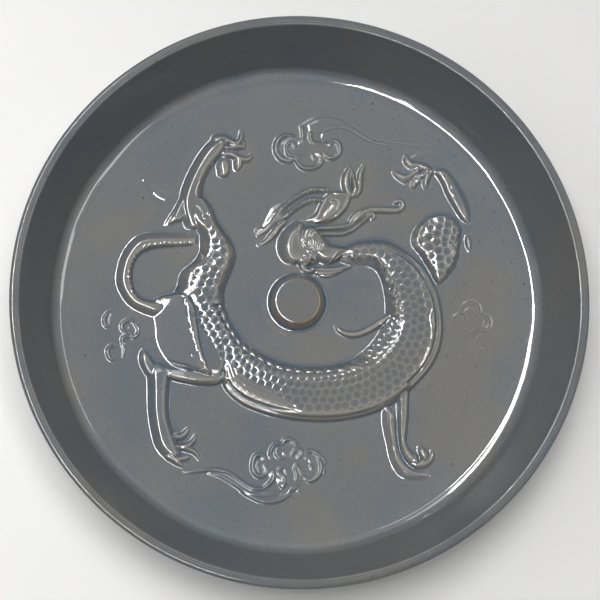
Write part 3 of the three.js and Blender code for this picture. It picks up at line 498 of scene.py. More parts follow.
def score(lines, halfWidth, height, thinned=0.0):
    # Adds fine ridges, or grooves where the height is below nothing, that fade towards both ends. The
    # glaze over them is thinner by the last number
    mark = np.zeros_like(scores)
    for line in lines:
        trail = follow(line, trailStep)
        for k, (x, y) in enumerate(trail):
            fade = min(1, *(count * trailStep / canvas["fade"] for count in (k + 2, len(trail) - k + 1)))
            part, across, up = window(x, y, 2 * halfWidth)
            form = np.exp(-(across ** 2 + up ** 2) / (halfWidth * 0.7) ** 2) * fade
            np.maximum(mark[part], form, out=mark[part])
    scores[:] += mark * height
    scalePool[:] -= mark * thinned


def stud(line, radius, height, pitch, wander=0.0):
    # A row of small knobs along a line, each a little to one side of it
    for k, (x, y) in enumerate(follow(line, pitch)):
        x, y = x + wander * math.sin(k * 2.4), y + wander * math.cos(k * 4.1)
        part, across, up = window(x, y, 2.2 * radius)
        knob = np.exp(-(across ** 2 + up ** 2) / radius ** 2)
        scores[part] += knob * height * (1 + 0.4 * math.sin(k * 1.7))


def band(field, height, slopeA, slopeB, stations, profile=((0, 1), (0, 1))):
    # Lays a form between two feet. Each station is [x, y] on one foot, [x, y] on the other and its share
    # of the height, the slopes are how wide the sides are, and the profile says how a side climbs
    t = np.linspace(0, len(stations) - 1, 60 * len(stations))
    edges = curveAt(stations, t)
    width = np.hypot(edges[:, 2] - edges[:, 0], edges[:, 3] - edges[:, 1])
    v = np.linspace(0, 1, int(width.max() / 0.07) + 2)
    x, y = (edges[:, k, None] * (1 - v) + edges[:, k + 2, None] * v for k in (0, 1))
    side = np.minimum(width[:, None] * v / slopeA, width[:, None] * (1 - v) / slopeB)
    form = np.interp(side, *profile) * np.maximum(edges[:, 4, None], 0) * height
    column, row = (np.rint((w - axis[0]) / step).astype(int) for w in (x, y))
    np.maximum.at(field, (row, column), form)


def rib(strand, pitch, height):
    # Ridges straight across a strand
    trail = follow([point[:3] for point in strand], 0.1)
    ridges = np.zeros_like(scores)
    nearest = np.full_like(scores, far)
    for k, (x, y, halfWidth) in enumerate(trail):
        part, across, up = window(x, y, halfWidth)
        away = np.hypot(across, up)
        wave = math.cos(math.tau * k * 0.1 / pitch) * height * (1 - eased(away, halfWidth * 0.6, halfWidth))
        closer = away < nearest[part]
        ridges[part] = np.where(closer, wave, ridges[part])
        nearest[part] = np.minimum(nearest[part], away)
    scores[:] += ridges
    scalePool[:] -= ridges * 0.5


def coil(x, y, radius, turns, start, halfWidth, height):
    # A fine ridge that winds in towards its middle
    angles = np.radians(start) + np.linspace(0, math.tau * turns, int(8 * turns) + 2)
    inner = 0.15 if turns > 1.5 else 0.7
    reach = radius * np.linspace(1, inner, len(angles))
    score([list(zip(x + reach * np.cos(angles), y + reach * np.sin(angles)))], halfWidth, height, 0.25)


def edgesOf(strand, inset):
    # The two lines along a strand's sides
    line = follow(strand, 0.5)
    along = np.gradient(line[:, :2], axis=0)
    along /= np.linalg.norm(along, axis=1)[:, None]
    side = np.stack([-along[:, 1], along[:, 0]], 1) * line[:, 2:3] * inset
    return [line[:, :2] + side, line[:, :2] - side]


def clay(name, node, look):
    # Models one form from its strands and bands, and then works its surface
    field = np.zeros_like(scores)
    for strand in look.get("strands", []):
        stroke(field, strand, look["height"], look["flat"])
        # A painted shade along the strand's middle, and lighter lines along its sides that are partly a
        # painted highlight
        if "sheenEdges" in look:
            score([[point[:2] for point in strand]], *marks["edgeShade"])
            score(edgesOf(strand, marks["edgeInset"]), *look["sheenEdges"])
    for form in look.get("bands", []):
        band(field, *form)
    if "melt" in look:
        field = soften(field, look["melt"])
    for halfWidth, height, lines in look.get("scores", []):
        score(lines, halfWidth, height)
    for turn in look.get("coils", []):
        coil(*turn)
    if "beads" in look:
        stud(look["beads"], *marks["bead"])
    if "jag" in look:
        stud(look["jag"], *marks["jag"])
    if "ribbed" in look:
        rib(look["strands"][0][:look["ribbed"]], *marks["rib"])
    drawn[name] = (node, field)


def soften(field, spread):
    # Gaussian blur over the lattice, where spread is in mm
    sigma = spread / step
    reach = int(3 * sigma) + 1
    weights = np.exp(-0.5 * (np.arange(-reach, reach + 1) / sigma) ** 2)
    weights /= weights.sum()
    for turn in range(2):
        padded = np.pad(field, ((reach, reach), (0, 0)))
        field = sum(w * padded[k:k + cells] for k, w in enumerate(weights)).T
    return field


# The coil: each station is [x, y] on its inside, [x, y] on its outside, and its share of the height

torso = {
    "height": 4.6,
    "innerEdge": 0.92,  # share of the height at the edges of the scaled back
    "outerEdge": 0.74,
    "innerSlope": 0.98,  # rise over run of the sides
    "curledSlope": 0.58,  # and where the crest is curled
    "curled": (6.3, 7.6, 10.2, 11.4),  # the stations between which it is
    "shoulder": 0.9,
    "outerSlope": 1.5,
    "neckEnd": 3,
    "torsoEnd": 21,
    "joint": 12.5,  # where the back is parted into two meshes
    "shoulderLine": (0.4, 0.3, 0.4),  # half width, height and missing glaze, as of the next one
    "haunchLine": (1.1, 0.75, 0.2),
    "stations": [
        [15.5, 16.6, 15, 20.4, 0.58], [19, 15.5, 19, 23, 0.7], [23.5, 15.5, 24.5, 24.4, 0.8],
        [27.2, 14.2, 32, 24.2, 0.87], [29.6, 10.8, 38.5, 20.7, 0.92], [30.8, 6, 45, 15, 0.96],
        [31.3, 1, 50, 6, 1], [31, -3.6, 51.9, -4, 1], [29, -8.4, 51.3, -12.5, 1],
        [26, -12.6, 48.3, -20, 1], [22.5, -16, 43.5, -26, 1], [18.3, -18.9, 37, -32, 1],
        [13, -20.6, 28.6, -37, 1], [7, -21.2, 18, -40, 0.98], [1, -21, 7, -40.9, 0.98],
        [-5, -20, -4, -39.9, 0.96], [-10, -18.1, -13.5, -37.6, 0.94], [-15, -15.2, -21.5, -33.8, 0.92],
        [-19, -12, -26.4, -28.2, 0.9], [-22.3, -8, -27.4, -20, 0.9], [-24.8, -3, -31, -12, 0.9],
        [-26, 1.5, -38.4, -3.4, 0.92], [-26.4, 5, -44, 3.4, 0.98], [-25.2, 9, -42.9, 7.4, 1],
        [-23.4, 13.4, -41.6, 12.4, 1], [-22.2, 17.6, -37.4, 16.2, 0.96], [-22.8, 21.4, -35.2, 19.6, 0.9],
        [-24.6, 24.8, -35, 23.6, 0.84], [-27, 28, -35.6, 27, 0.78], [-29, 31.4, -38.6, 30.6, 0.72],
        [-30.6, 35.4, -40.2, 34.6, 0.66], [-33, 39, -40, 39, 0.6],
    ],
}
scales = {
    "pitch": 2.9,
    "rowPitch": 2.65,
    "rim": 0.055,  # height of the net between scales, mm
    "rimWidth": 0.42,
    "cup": 0.14,
    "cupRadius": 1.5,
    "stain": 0.36,  # how much glaze gathers in the cups, mm
    "rimStain": 0.32,  # and how much is missing on the net
    "unevenness": 0.22,
}
crest = {
    "height": 0.95,  # how far its teeth stand above the back
    "pitch": 3.3,
    "slant": 0.45,
    "widths": [[0, 2.2], [3, 3.4], [5, 4.3], [8, 4.6], [11, 4.2], [12.5, 2.6], [21, 2.2], [31, 1.5]],
}
bands = {
    "height": 2.5,
    "width": 3.1,
    "groove": 0.55,
    "grooveAt": 1.55,
    "inset": 0.9,  # how far it drops against the back
    "upper": (3, 10.4),
    "lower": (11.9, 17.9),
    "narrowUpTo": (14.6, 15.8),  # the lower one's strip is half as wide before these stations
}


def sweep(stations):
    # What lies under each place of the lattice: station, share of the way across, width and rise
    last = len(stations) - 1
    t = np.linspace(0, last, last * 110)
    edges = curveAt(stations, t)
    v = np.linspace(0, 1, 300)
    x, y = (edges[:, k, None] * (1 - v) + edges[:, k + 2, None] * v for k in (0, 1))
    column, row = (np.rint((w - axis[0]) / step).astype(int) for w in (x, y))
    cell = (row * cells + column).ravel()
    count = np.bincount(cell, minlength=cells * cells)
    width = np.hypot(edges[:, 2] - edges[:, 0], edges[:, 3] - edges[:, 1])
    full = np.ones_like(x)
    spread = [np.bincount(cell, values.ravel(), cells * cells) / np.maximum(count, 1)
              for values in (full * t[:, None], full * v, full * width[:, None], full * edges[:, 4, None])]
    return (count > 0).reshape(cells, cells), *(s.reshape(cells, cells) for s in spread)


def scaleNet(stations, rng):
    # Distances of each place to the nearest and to the next middle of a scale
    near = np.full((cells, cells), far)
    second = near.copy()
    edges = curveAt(stations, np.linspace(0, len(stations) - 1, 40 * len(stations)))
    inner, outer = edges[:, 0:2], edges[:, 2:4]
    width = np.linalg.norm(outer - inner, axis=1)[:, None]
    middle = (inner + outer) / 2
    along = np.gradient(middle, axis=0)
    along /= np.linalg.norm(along, axis=1)[:, None]
    side = np.stack([along[:, 1], -along[:, 0]], 1)
    side *= np.sign((side * (outer - inner)).sum(1))[:, None]
    trail = evenly(np.hstack([middle, side, width]), 0.1)
    for row in range(-8, 9):
        for spot in np.arange(0.5 * (row % 2), len(trail) * 0.1 / scales["pitch"] - 0.1) * scales["pitch"]:
            x, y, sideX, sideY, wide = trail[int(spot / 0.1)]
            offset = row * scales["rowPitch"]
            if abs(offset) > wide / 2 + 0.6:
                continue
            wander = rng.normal(0, scales["unevenness"], 2)
            part, across, up = window(x + sideX * offset + wander[0], y + sideY * offset + wander[1], 3.4)
            away = np.hypot(across, up)
            second[part] = np.where(away < near[part], near[part], np.minimum(second[part], away))
            near[part] = np.minimum(near[part], away)
    return near, second


def scaled(mask, net, weight=1.0):
    # Presses the scales into the part of the hide under the mask
    near, second = net
    rim = np.exp(-((second - near) / scales["rimWidth"]) ** 2)
    cup = np.clip(1 - (near / scales["cupRadius"]) ** 2, 0, 1)
    weight = soften(mask.astype(np.float32), 0.45) * weight
    scores[:] += (rim * scales["rim"] - cup * scales["cup"]) * weight
    scalePool[:] += (cup * scales["stain"] - rim * scales["rimStain"]) * weight


def meet(first, second, spread):
    # The lower of two heights, rounded where they cross
    share = np.clip(0.5 + 0.5 * (second - first) / spread, 0, 1)
    return second * (1 - share) + first * share - spread * share * (1 - share)


def dome(across, innerEdge, outerEdge):
    edge = innerEdge + (outerEdge - innerEdge) * across
    return edge + (1 - edge) * np.sin(np.pi * np.clip(across, 0, 1))


rng = np.random.default_rng(7)
onCoil, station, across, width, rise = sweep(torso["stations"])
coilNet = scaleNet(torso["stations"], rng)
fromInside, fromOutside = across * width, (1 - across) * width
crestWidth = np.interp(station, *zip(*crest["widths"]))
isTorso = onCoil & (station >= torso["neckEnd"]) & (station < torso["torsoEnd"])
isCrest = isTorso & (fromInside < crestWidth)
isBand = [isTorso & (fromOutside < bands["width"]) & (station >= a) & (station < b)
          for a, b in (bands["upper"], bands["lower"])]

# Where along the inside edge a place is, so that the crest's teeth are evenly cut
edgeStations = np.linspace(0, len(torso["stations"]) - 1, 900)
insideEdge = curveAt(torso["stations"], edgeStations)[:, :2]
insideLength = np.concatenate([[0], np.cumsum(np.linalg.norm(np.diff(insideEdge, axis=0), axis=1))])
edgeLength = np.interp(station, edgeStations, insideLength)
tooth = (edgeLength + fromInside * crest["slant"]) / crest["pitch"]
lobe = np.abs(np.sin(math.pi * tooth)) ** 0.6

back = torso["height"] * rise * dome(across, torso["innerEdge"], torso["outerEdge"])
curled = plateau(station, *torso["curled"])
innerSlope = torso["innerSlope"] + (torso["curledSlope"] - torso["innerSlope"]) * curled
back = meet(back, fromInside * innerSlope + 0.1, torso["shoulder"])
crestTop = np.exp(-((fromInside - crestWidth * 0.8) / (crestWidth * 0.34)) ** 2)
crestForm = back + crestTop * crest["height"] * (lobe - 0.3) * 1.6 * (1 - curled)
back = np.minimum(back, fromOutside * torso["outerSlope"] + 0.2)
bandForm = bands["height"] * rise * np.clip(fromOutside / 1.3, 0, 1)
bandForm -= bands["groove"] * np.exp(-((fromOutside - bands["grooveAt"]) / 0.3) ** 2)
bandForm -= bands["inset"] * eased(fromOutside, bands["width"] - 0.7, bands["width"])
begun = eased(station, bands["upper"][0], bands["upper"][0] + 1.6)
bandForm = back * (1 - begun) + bandForm * begun
narrow = (station > bands["lower"][0]) * (1 - eased(station, *bands["narrowUpTo"]))
narrow = narrow * eased(fromOutside, 1.5, 1.9)
bandForm = bandForm * (1 - narrow) + back * narrow

isBack = isTorso & ~isCrest & ~isBand[0] & ~isBand[1]
for name, node, mask, form in [
    ("spineCrest", "spine_crest", isCrest, crestForm),
    ("bellyBandUpper", "belly_band_upper", isBand[0] & ~isCrest, bandForm),
    ("bellyBandLower", "belly_band_lower", isBand[1] & ~isCrest, bandForm),
    ("torsoFront", "dragon_torso", isBack & (station < torso["joint"]), back),
    ("torsoRear", "dragon_torso", isBack & (station >= torso["joint"]), back),
]:
    drawn[name] = (node, np.where(mask, np.maximum(form, 0), 0).astype(np.float32))
isHide = isTorso & (fromInside > crestWidth * 0.95) & ~isBand[0] & (~isBand[1] | (narrow > 0.5))
combedWidth = 3 + eased(station, 14.3, 15.8) * (6.2 - 2.2 * eased(station, 16.4, 18.4))
isCombed = (station < 18.4) & (fromOutside < combedWidth)
bolder = 1 + 0.9 * eased(station, 14.5, 17)  # the scales stand out more towards the hip
scaled(isHide & ~isCombed, coilNet, bolder * (1 - 0.7 * curled * (fromInside < 7)))
score([[(40.3, 18.8), (43.3, 14.8), (45.3, 10.4), (46.8, 6), (48.2, 0.6), (47, -3.4), (47.6, -8.6),
        (47, -13.6)]], *torso["shoulderLine"])
score([[(47, -14.6), (45.8, -18), (43.8, -21.8)]], *torso["haunchLine"])

# Knobs and curls along the shoulder of the crest, where a curl is given by its middle
crestCurls = {
    "knobs": [(28, 16.8), (30.2, 14), (31.4, 11), (32.3, 7.4), (33.5, 4), (34.5, 0.6), (35, -2.4)],
    "knobRows": [(0.75, 0.62, 1.5, 0.5), (0.55, 0.36, 1.1, 0.9)],  # radius, height, spacing and wander
    "lumps": [(33.6, 8), (35.2, 5.6), (36, 3.4), (36.9, 1), (37, -1.6), (36.4, -3.4)],
    "lumpRow": (0.7, 0.42, 1.2, 0.6),
    "curls": [(35, -4), (34.6, -6.6), (33.2, -8.6), (31.8, -10.8), (29.9, -12.6), (28, -14.6),
              (26.2, -16.4), (23.8, -18), (31, -7.4), (27.6, -11.6), (24.4, -15.4)],
    "ragged": [
        [(27.4, 18.8), (29.4, 18.6), (29.2, 16.6), (31.4, 16.2), (31, 14), (33, 13.4), (32.4, 11.4)],
        [(32.8, 10), (34.6, 7.8), (33.8, 6), (36, 4.2), (34.8, 2.2), (37, 0.6), (35.4, -1), (37.2, -2.8)],
    ],
    "raggedLine": (0.5, 0.17, 0.2),
    "turn": -46,  # degrees from +x
    "length": 2.0,
    "breadth": 1.0,
    "curlLine": (0.5, 0.3),
}
for row in crestCurls["knobRows"]:
    stud(crestCurls["knobs"], *row)
stud(crestCurls["lumps"], *crestCurls["lumpRow"])
score(crestCurls["ragged"], *crestCurls["raggedLine"])
slant = math.radians(crestCurls["turn"])
for x, y in crestCurls["curls"]:
    ring = []
    for k in range(11):
        a, b = crestCurls["length"] * math.cos(k * 0.6), crestCurls["breadth"] * math.sin(k * 0.6)
        ring.append((x + a * math.cos(slant) - b * math.sin(slant),
                     y + a * math.sin(slant) + b * math.cos(slant)))
    score([ring], *crestCurls["curlLine"])

# Combed lines over the lower belly band
combed = {
    "stations": (14.4, 17.6),
    "pitch": 0.34,
    "rows": (3.2, 4.9, 6.6),  # mm in from the outside
    "rise": 2.1,
    "lead": 0.8,  # how many stations a line runs on
    "line": (0.4, 0.15, 0.25),
}
for k, row in enumerate(combed["rows"]):
    first, last = combed["stations"]
    starts = np.arange(first + k * 0.22, last - k * 0.1, combed["pitch"])
    foot, tip = (curveAt(torso["stations"], starts + lead) for lead in (0, combed["lead"]))
    inward = foot[:, :2] - foot[:, 2:4]
    inward /= np.linalg.norm(inward, axis=1)[:, None]
    ends = np.stack([foot[:, 2:4] + inward * row, tip[:, 2:4] + inward * (row + combed["rise"])], 1)
    score(ends, *combed["line"])
print("torso laid")

neck = {"edge": 0.4}  # share of its height at its edges, where it leaves the head
thigh = {
    "height": 4.992,
    "flank": 0.6,  # share of its width that slopes towards the outside
    "outerRim": 1.05,  # rise over run at its edges
    "rim": 1.6,
    "seam": [(-24.2, 22.5), (-22.5, 19.5), (-22, 14.5), (-24.2, 9.5), (-26.2, 5.5), (-27.2, 1.5)],
    "seamLine": (0.4, 0.5),
}
isNeck = onCoil & (station < torso["neckEnd"])
joined = station / torso["neckEnd"]
neckEdges = [neck["edge"] + (torso[side] - neck["edge"]) * joined for side in ("innerEdge", "outerEdge")]
neckForm = torso["height"] * rise * dome(across, *neckEdges)
neckForm = np.minimum(neckForm, fromInside * torso["innerSlope"] + 0.1)
neckForm = np.minimum(neckForm, fromOutside * torso["outerSlope"] + 0.2)
drawn["dragonNeck"] = ("dragon_neck", np.where(isNeck, neckForm, 0).astype(np.float32))
scaled(isNeck & (fromInside > 0.8) & (fromOutside > 1.2), coilNet, 0.8)
isThigh = onCoil & (station >= torso["torsoEnd"])
flank = np.clip(fromOutside / np.maximum(width * thigh["flank"], 0.5), 0, 1)
thighForm = thigh["height"] * rise * np.sqrt(np.clip(1 - (1 - flank) ** 2, 0, 1))
thighForm = np.minimum(thighForm, fromOutside * thigh["outerRim"] + 0.15)
thighForm = np.minimum(thighForm, fromInside * thigh["rim"] + 0.2 + 0.5 * eased(fromInside, 1.2, 1.9))
drawn["hindThighUpper"] = ("hind_thigh_upper", np.where(isThigh, thighForm, 0).astype(np.float32))
score([thigh["seam"]], *thigh["seamLine"])
scaled(isThigh & (fromInside > 2.0) & (fromOutside > 4.4 * rise) & (station < 28.5), coilNet, 1.25)

upperArm = {
    "edge": 0.62,
    "slope": 1.2,
    "knobs": [(57.6, 28.6), (57.4, 24.6), (56.8, 20.4), (55.4, 16.6)],
    "knobRow": (0.5, 0.5, 1.1, 0.3),
    "stations": [
        [51.6, 9.2, 49.4, 9.6, 0.45], [55.4, 13.4, 46.8, 14.5, 0.64], [57.6, 18, 43.8, 19.5, 0.72],
        [58.2, 23, 40.8, 23.6, 0.76], [59, 28, 41.8, 28.4, 0.74], [57, 32.2, 46, 32.6, 0.66],
        [53.6, 33.8, 50, 33.8, 0.5],
    ],
}
onArm, _, armAcross, armWidth, armRise = sweep(upperArm["stations"])
armForm = torso["height"] * armRise * dome(armAcross, upperArm["edge"], upperArm["edge"])
armEdge = np.minimum(armAcross, 1 - armAcross) * armWidth
armForm = np.minimum(armForm, armEdge * upperArm["slope"] + 0.15)
drawn["foreArmUpper"] = ("fore_arm_upper", np.where(onArm, armForm, 0).astype(np.float32))
scaled(onArm & (armEdge > 1.2), scaleNet(upperArm["stations"], rng), 1.4)
stud(upperArm["knobs"], *upperArm["knobRow"])
print("neck, thigh and upper arm laid")


# Head, hair and whiskers

headForm = {
    "height": 3.6,
    "flat": 0.5,
    "melt": 0.45,
    "strands": [
        [[0.77, 29.52, 1.5, 0.7], [-0.54, 26.32, 2.4, 0.8], [-0.73, 22.72, 3, 0.82],
         [0.07, 19.32, 2.8, 0.82], [1.47, 16.92, 1.8, 0.7], [2.46, 14.92, 1.2, 0.55]],
        [[3.46, 27.52, 1.9, 0.78], [3.07, 23.92, 3, 0.82], [3.07, 20.12, 2.8, 0.82],
         [3.46, 16.92, 1.8, 0.74]],
        [[4.46, 27.52, 1.9, 0.8], [5.27, 24.12, 2.6, 0.83], [5.46, 20.52, 2.9, 0.83],
         [5.27, 17.72, 2, 0.78]],
        [[5.46, 27.92, 1.3, 0.8], [7.07, 24.92, 2.3, 0.84], [8.06, 22.32, 3.2, 0.85],
         [9.67, 19.72, 3.7, 0.88], [12.46, 19.52, 3.2, 0.9], [15.06, 20.12, 2, 0.82],
         [16.86, 20.52, 1.2, 0.74]],
    ],
    "scores": [
        (0.3, 0.5, [
            [[4.17, 25.72], [4.87, 27.32], [6.27, 28.72], [7.46, 28.42], [7.27, 27.32], [6.17, 26.92]],
            [[5.07, 25.32], [6.07, 26.32], [7.46, 26.12]],
            [[5.27, 21.72], [6.07, 20.72], [7.67, 20.42], [9.27, 20.92]],
            [[5.17, 20.12], [4.46, 19.12], [3.46, 19.92]],
            [[2.07, 18.52], [3.17, 17.72], [4.46, 18.12], [5.07, 19.12]],
        ]),
        (0.45, 0.8, [[[9.67, 25.72], [10.46, 24.92], [11.17, 23.52]]]),
        (0.5, 0.75, [
            [[6.07, 17.12], [6.87, 15.92], [8.67, 15.22], [10.67, 15.52], [12.37, 17.12], [14.06, 19.32],
             [15.46, 20.52], [17.06, 20.92]],
        ]),
        (0.34, 0.9, [
            [[1.17, 15.62], [1.97, 16.52], [3.26, 16.72], [4.07, 15.92]],
            [[2.26, 15.22], [3.26, 15.62], [4.17, 15.12]],
            [[3.17, 14.22], [4.46, 14.62], [5.37, 13.92]],
            [[4.87, 13.22], [6.07, 13.62], [7.27, 13.22]],
            [[4.57, 17.72], [4.07, 16.82], [4.77, 16.02]],
        ]),
        (0.34, 0.8, [
            [[15.46, 17.72], [16.86, 18.42], [18.26, 18.52], [19.46, 17.82], [19.76, 18.92],
             [20.16, 20.42]],
            [[13.06, 16.92], [14.87, 18.42], [16.06, 19.02]],
            [[15.87, 18.72], [17.46, 16.72], [19.06, 15.22]],
            [[17.06, 18.32], [18.46, 16.52], [19.66, 15.42]],
            [[15.06, 17.52], [16.46, 16.12], [18.06, 14.82]],
            [[10.87, 14.92], [13.46, 15.52], [15.46, 17.12]],
        ]),
        (0.55, -1.7, [[[4.96, 17.02], [5.77, 16.82]]]),
    ],
    "coils": [(3.26, 23.12, 2.7, 3, 200, 0.28, 0.2), (7.96, 22.32, 1.9, 2, 30, 0.3, 0.42)],
}
clay("dragonHead", "dragon_head", headForm)

crown = {
    "middle": (4.1, 22.7),
    "radii": [(7.3, 6.9), (6.45, 6.15), (5.6, 5.4), (4.8, 4.7), (4.0, 4.0), (3.3, 3.4)],
    "angles": (106, 254),
    "line": (0.28, 0.12, 0.35),
}
turns = np.radians(np.linspace(*crown["angles"], 9))
score([[(crown["middle"][0] + a * math.cos(t), crown["middle"][1] + b * math.sin(t)) for t in turns]
       for a, b in crown["radii"]], *crown["line"])

jawBeard = {
    "height": 1.9,
    "flat": 0.3,
    "strands": [
        [[1.15, 15.11, 0.7, 0.8], [2.05, 13.91, 0.9, 0.95], [3.55, 13.21, 1, 1], [5.35, 13.31, 1, 1]],
        [[4.95, 13.71, 1, 1], [7.95, 13.61, 1, 1], [11.95, 13.71, 1, 1], [15.95, 14.31, 0.9, 0.95],
         [19.15, 15.01, 0.5, 0.6]],
        [[6.35, 12.61, 0.7, 0.7], [8.95, 12.41, 0.9, 0.9], [12.35, 12.61, 0.9, 0.9],
         [15.95, 13.61, 0.6, 0.7]],
        [[7.95, 11.51, 0.5, 0.5], [10.55, 11.51, 0.7, 0.7], [13.35, 12.01, 0.5, 0.5]],
    ],
}
clay("jawBeard", "jaw_beard", jawBeard)

mane = {
    "melt": 0.3,
    "bands": [
        (2.95, 3.5, 0.3, [
            [-1.6, 31.6, 1, 30.4, 0.5], [-5.2, 28, 1.2, 27.2, 0.95], [-7.1, 24.8, 1, 24.2, 1],
            [-7.6, 21.6, 1, 22, 1], [-6.9, 18.8, 1.2, 19.6, 1], [-5.1, 16.6, 1.6, 17.6, 0.95],
            [-2.2, 15.6, 2, 16.6, 0.5],
        ]),
    ],
    "scores": [
        (1.1, 0.33, [
            [[0.91, 30.08], [-1.69, 27.08], [-2.99, 24.28], [-3.19, 21.28], [-2.49, 18.48], [-0.89, 16.48]],
        ]),
    ],
}
clay("maneHair", "mane", mane)

hornUpper = {
    "height": 1.7,
    "flat": 0.25,
    "strands": [
        [[10.35, 42.71, 1, 0.9], [8.15, 42.91, 1.1, 1], [5.15, 42.71, 1.1, 1], [2.15, 41.81, 1.1, 1],
         [-0.45, 40.31, 1.1, 1], [-2.65, 38.61, 1.1, 1], [-4.45, 37.11, 1.1, 1], [-5.65, 36.11, 1.1, 1]],
        [[-4.65, 36.81, 1.2, 0.9], [-6.25, 35.01, 1.3, 1], [-7.65, 32.81, 1.3, 1],
         [-9.05, 30.61, 1.3, 0.95], [-11.05, 28.61, 1.2, 0.8], [-13.05, 27.11, 1, 0.65],
         [-14.25, 26.21, 0.6, 0.5]],
        [[-12.65, 28.41, 0.8, 0.6], [-14.05, 28.31, 0.8, 0.55], [-15.05, 27.81, 0.5, 0.4]],
    ],
    "bands": [
        (1.35, 4.4, 0.9, [
            [-6.4, 38.2, -4.2, 35, 0.8], [-9.4, 36.2, -5.8, 32.4, 1], [-11.2, 33, -7.4, 30.2, 1],
            [-12.6, 30, -9.6, 28, 0.85], [-14.2, 27.6, -12.4, 26.6, 0.5],
        ]),
    ],
    "scores": [
        (0.32, 0.35, [
            [[-6.85, 34.61], [-8.85, 31.81], [-10.85, 29.21]],
            [[-7.85, 35.61], [-9.95, 32.61], [-12.05, 29.81]],
            [[-8.65, 36.21], [-10.95, 33.21], [-12.65, 31.01]],
        ]),
    ],
    "coils": [(-16.15, 26.31, 1.2, 1.1, -40, 0.34, 0.75)],
    "jag": [[-6.2, 36.8], [-8.8, 33.6], [-11.6, 30.2]],
    "ribbed": 8,  # points of its first strand that have ribs across it
}
clay("upperHorn", "horn_upper", hornUpper)

hornLower = {
    "height": 1.7,
    "flat": 0.25,
    "strands": [
        [[8.35, 39.11, 0.9, 0.9], [6.15, 39.21, 1.1, 1], [3.35, 38.61, 1.1, 1], [0.75, 37.21, 1.1, 1],
         [-1.45, 35.61, 1.1, 1], [-3.45, 33.81, 1.1, 0.95], [-5.45, 32.41, 1.1, 0.9],
         [-8.05, 31.01, 0.9, 0.75], [-9.65, 29.81, 0.5, 0.5]],
        [[-4.85, 31.01, 1.1, 0.8], [-7.05, 29.01, 1.5, 1], [-8.65, 26.81, 1.6, 1],
         [-10.25, 24.81, 1.2, 0.85], [-12.05, 23.41, 0.8, 0.65], [-14.05, 22.61, 0.6, 0.5]],
    ],
    "scores": [
        (0.32, 0.45, [
            [[-7.05, 29.71], [-9.05, 27.21], [-10.25, 25.41]],
            [[-6.65, 28.61], [-8.45, 26.01], [-9.85, 24.41]],
        ]),
    ],
    "coils": [(-15.95, 22.71, 1.2, 1.1, -30, 0.34, 0.75)],
    "ribbed": 6,  # points of its first strand that have ribs across it
}
clay("lowerHorn", "horn_lower", hornLower)

ear = {
    "melt": 0.25,
    "bands": [
        (1.9, 1.4, 1.2, [
            [0.6, 31.8, 0.4, 30.6, 0.4], [4, 32.8, 3.6, 31, 0.7], [6.4, 34.4, 7, 30.5, 0.9],
            [7.6, 37, 10.4, 30.6, 1], [8.8, 39.4, 13.4, 31.8, 1], [10.4, 41.4, 15.8, 33.6, 1],
            [13, 42.4, 17.8, 36.4, 1], [16.4, 42.4, 19, 39.2, 0.9], [18.6, 42.4, 20.4, 40.6, 0.7],
        ]),
    ],
    "scores": [
        (0.85, 0.34, [
            [[7.72, 35.31], [8.92, 37.71], [10.12, 39.91]],
            [[9.72, 33.11], [11.72, 35.31], [13.72, 37.71]],
        ]),
        (0.4, 0.5, [[[10.12, 41.11], [11.52, 39.91], [12.32, 38.31]]]),
        (0.4, 0.6, [
            [[13.52, 32.91], [15.52, 34.71], [17.32, 36.71], [18.52, 39.31]],
            [[14.52, 32.71], [16.72, 34.91], [18.52, 37.11]],
            [[4.92, 30.91], [7.92, 31.31], [10.92, 32.71], [13.52, 34.91], [14.92, 37.11], [14.52, 39.11],
             [12.92, 39.71], [11.52, 39.11]],
            [[9.52, 40.91], [11.92, 41.71], [14.92, 41.31], [17.32, 41.31]],
        ]),
        (0.5, 0.7, [[[12.32, 38.51], [13.12, 37.71], [12.92, 37.11]]]),
    ],
}
clay("dragonEar", "ear", ear)

earTuft = {
    "height": 1.9,
    "flat": 0.2,
    "strands": [
        [[18.55, 41.64, 1.2, 0.8], [17.55, 43.44, 1.5, 0.9], [17.25, 46.44, 1.7, 1],
         [18.05, 49.24, 1.4, 0.85], [19.15, 51.84, 0.5, 0.5]],
        [[19.95, 41.24, 1.1, 0.8], [20.55, 43.44, 1.1, 1], [20.25, 46.04, 1.2, 1],
         [19.75, 48.24, 0.9, 0.85], [19.65, 50.44, 0.4, 0.5]],
        [[21.15, 41.24, 1.1, 0.8], [22.25, 43.24, 1.2, 0.95], [22.35, 46.24, 1.2, 0.95],
         [22.75, 49.24, 1.2, 0.9], [23.85, 52.04, 0.7, 0.6]],
    ],
    "scores": [
        (0.3, 0.5, [
            [[17.95, 43.84], [18.35, 45.44], [17.95, 47.44]],
            [[18.15, 48.04], [19.75, 47.24], [20.35, 45.24], [20.85, 43.04]],
            [[21.95, 42.84], [21.75, 46.24], [22.55, 49.84]],
        ]),
    ],
    "coils": [(21.75, 41.34, 0.6, 1, 0, 0.3, 0.6)],
}
clay("earTuftHair", "ear_tuft", earTuft)

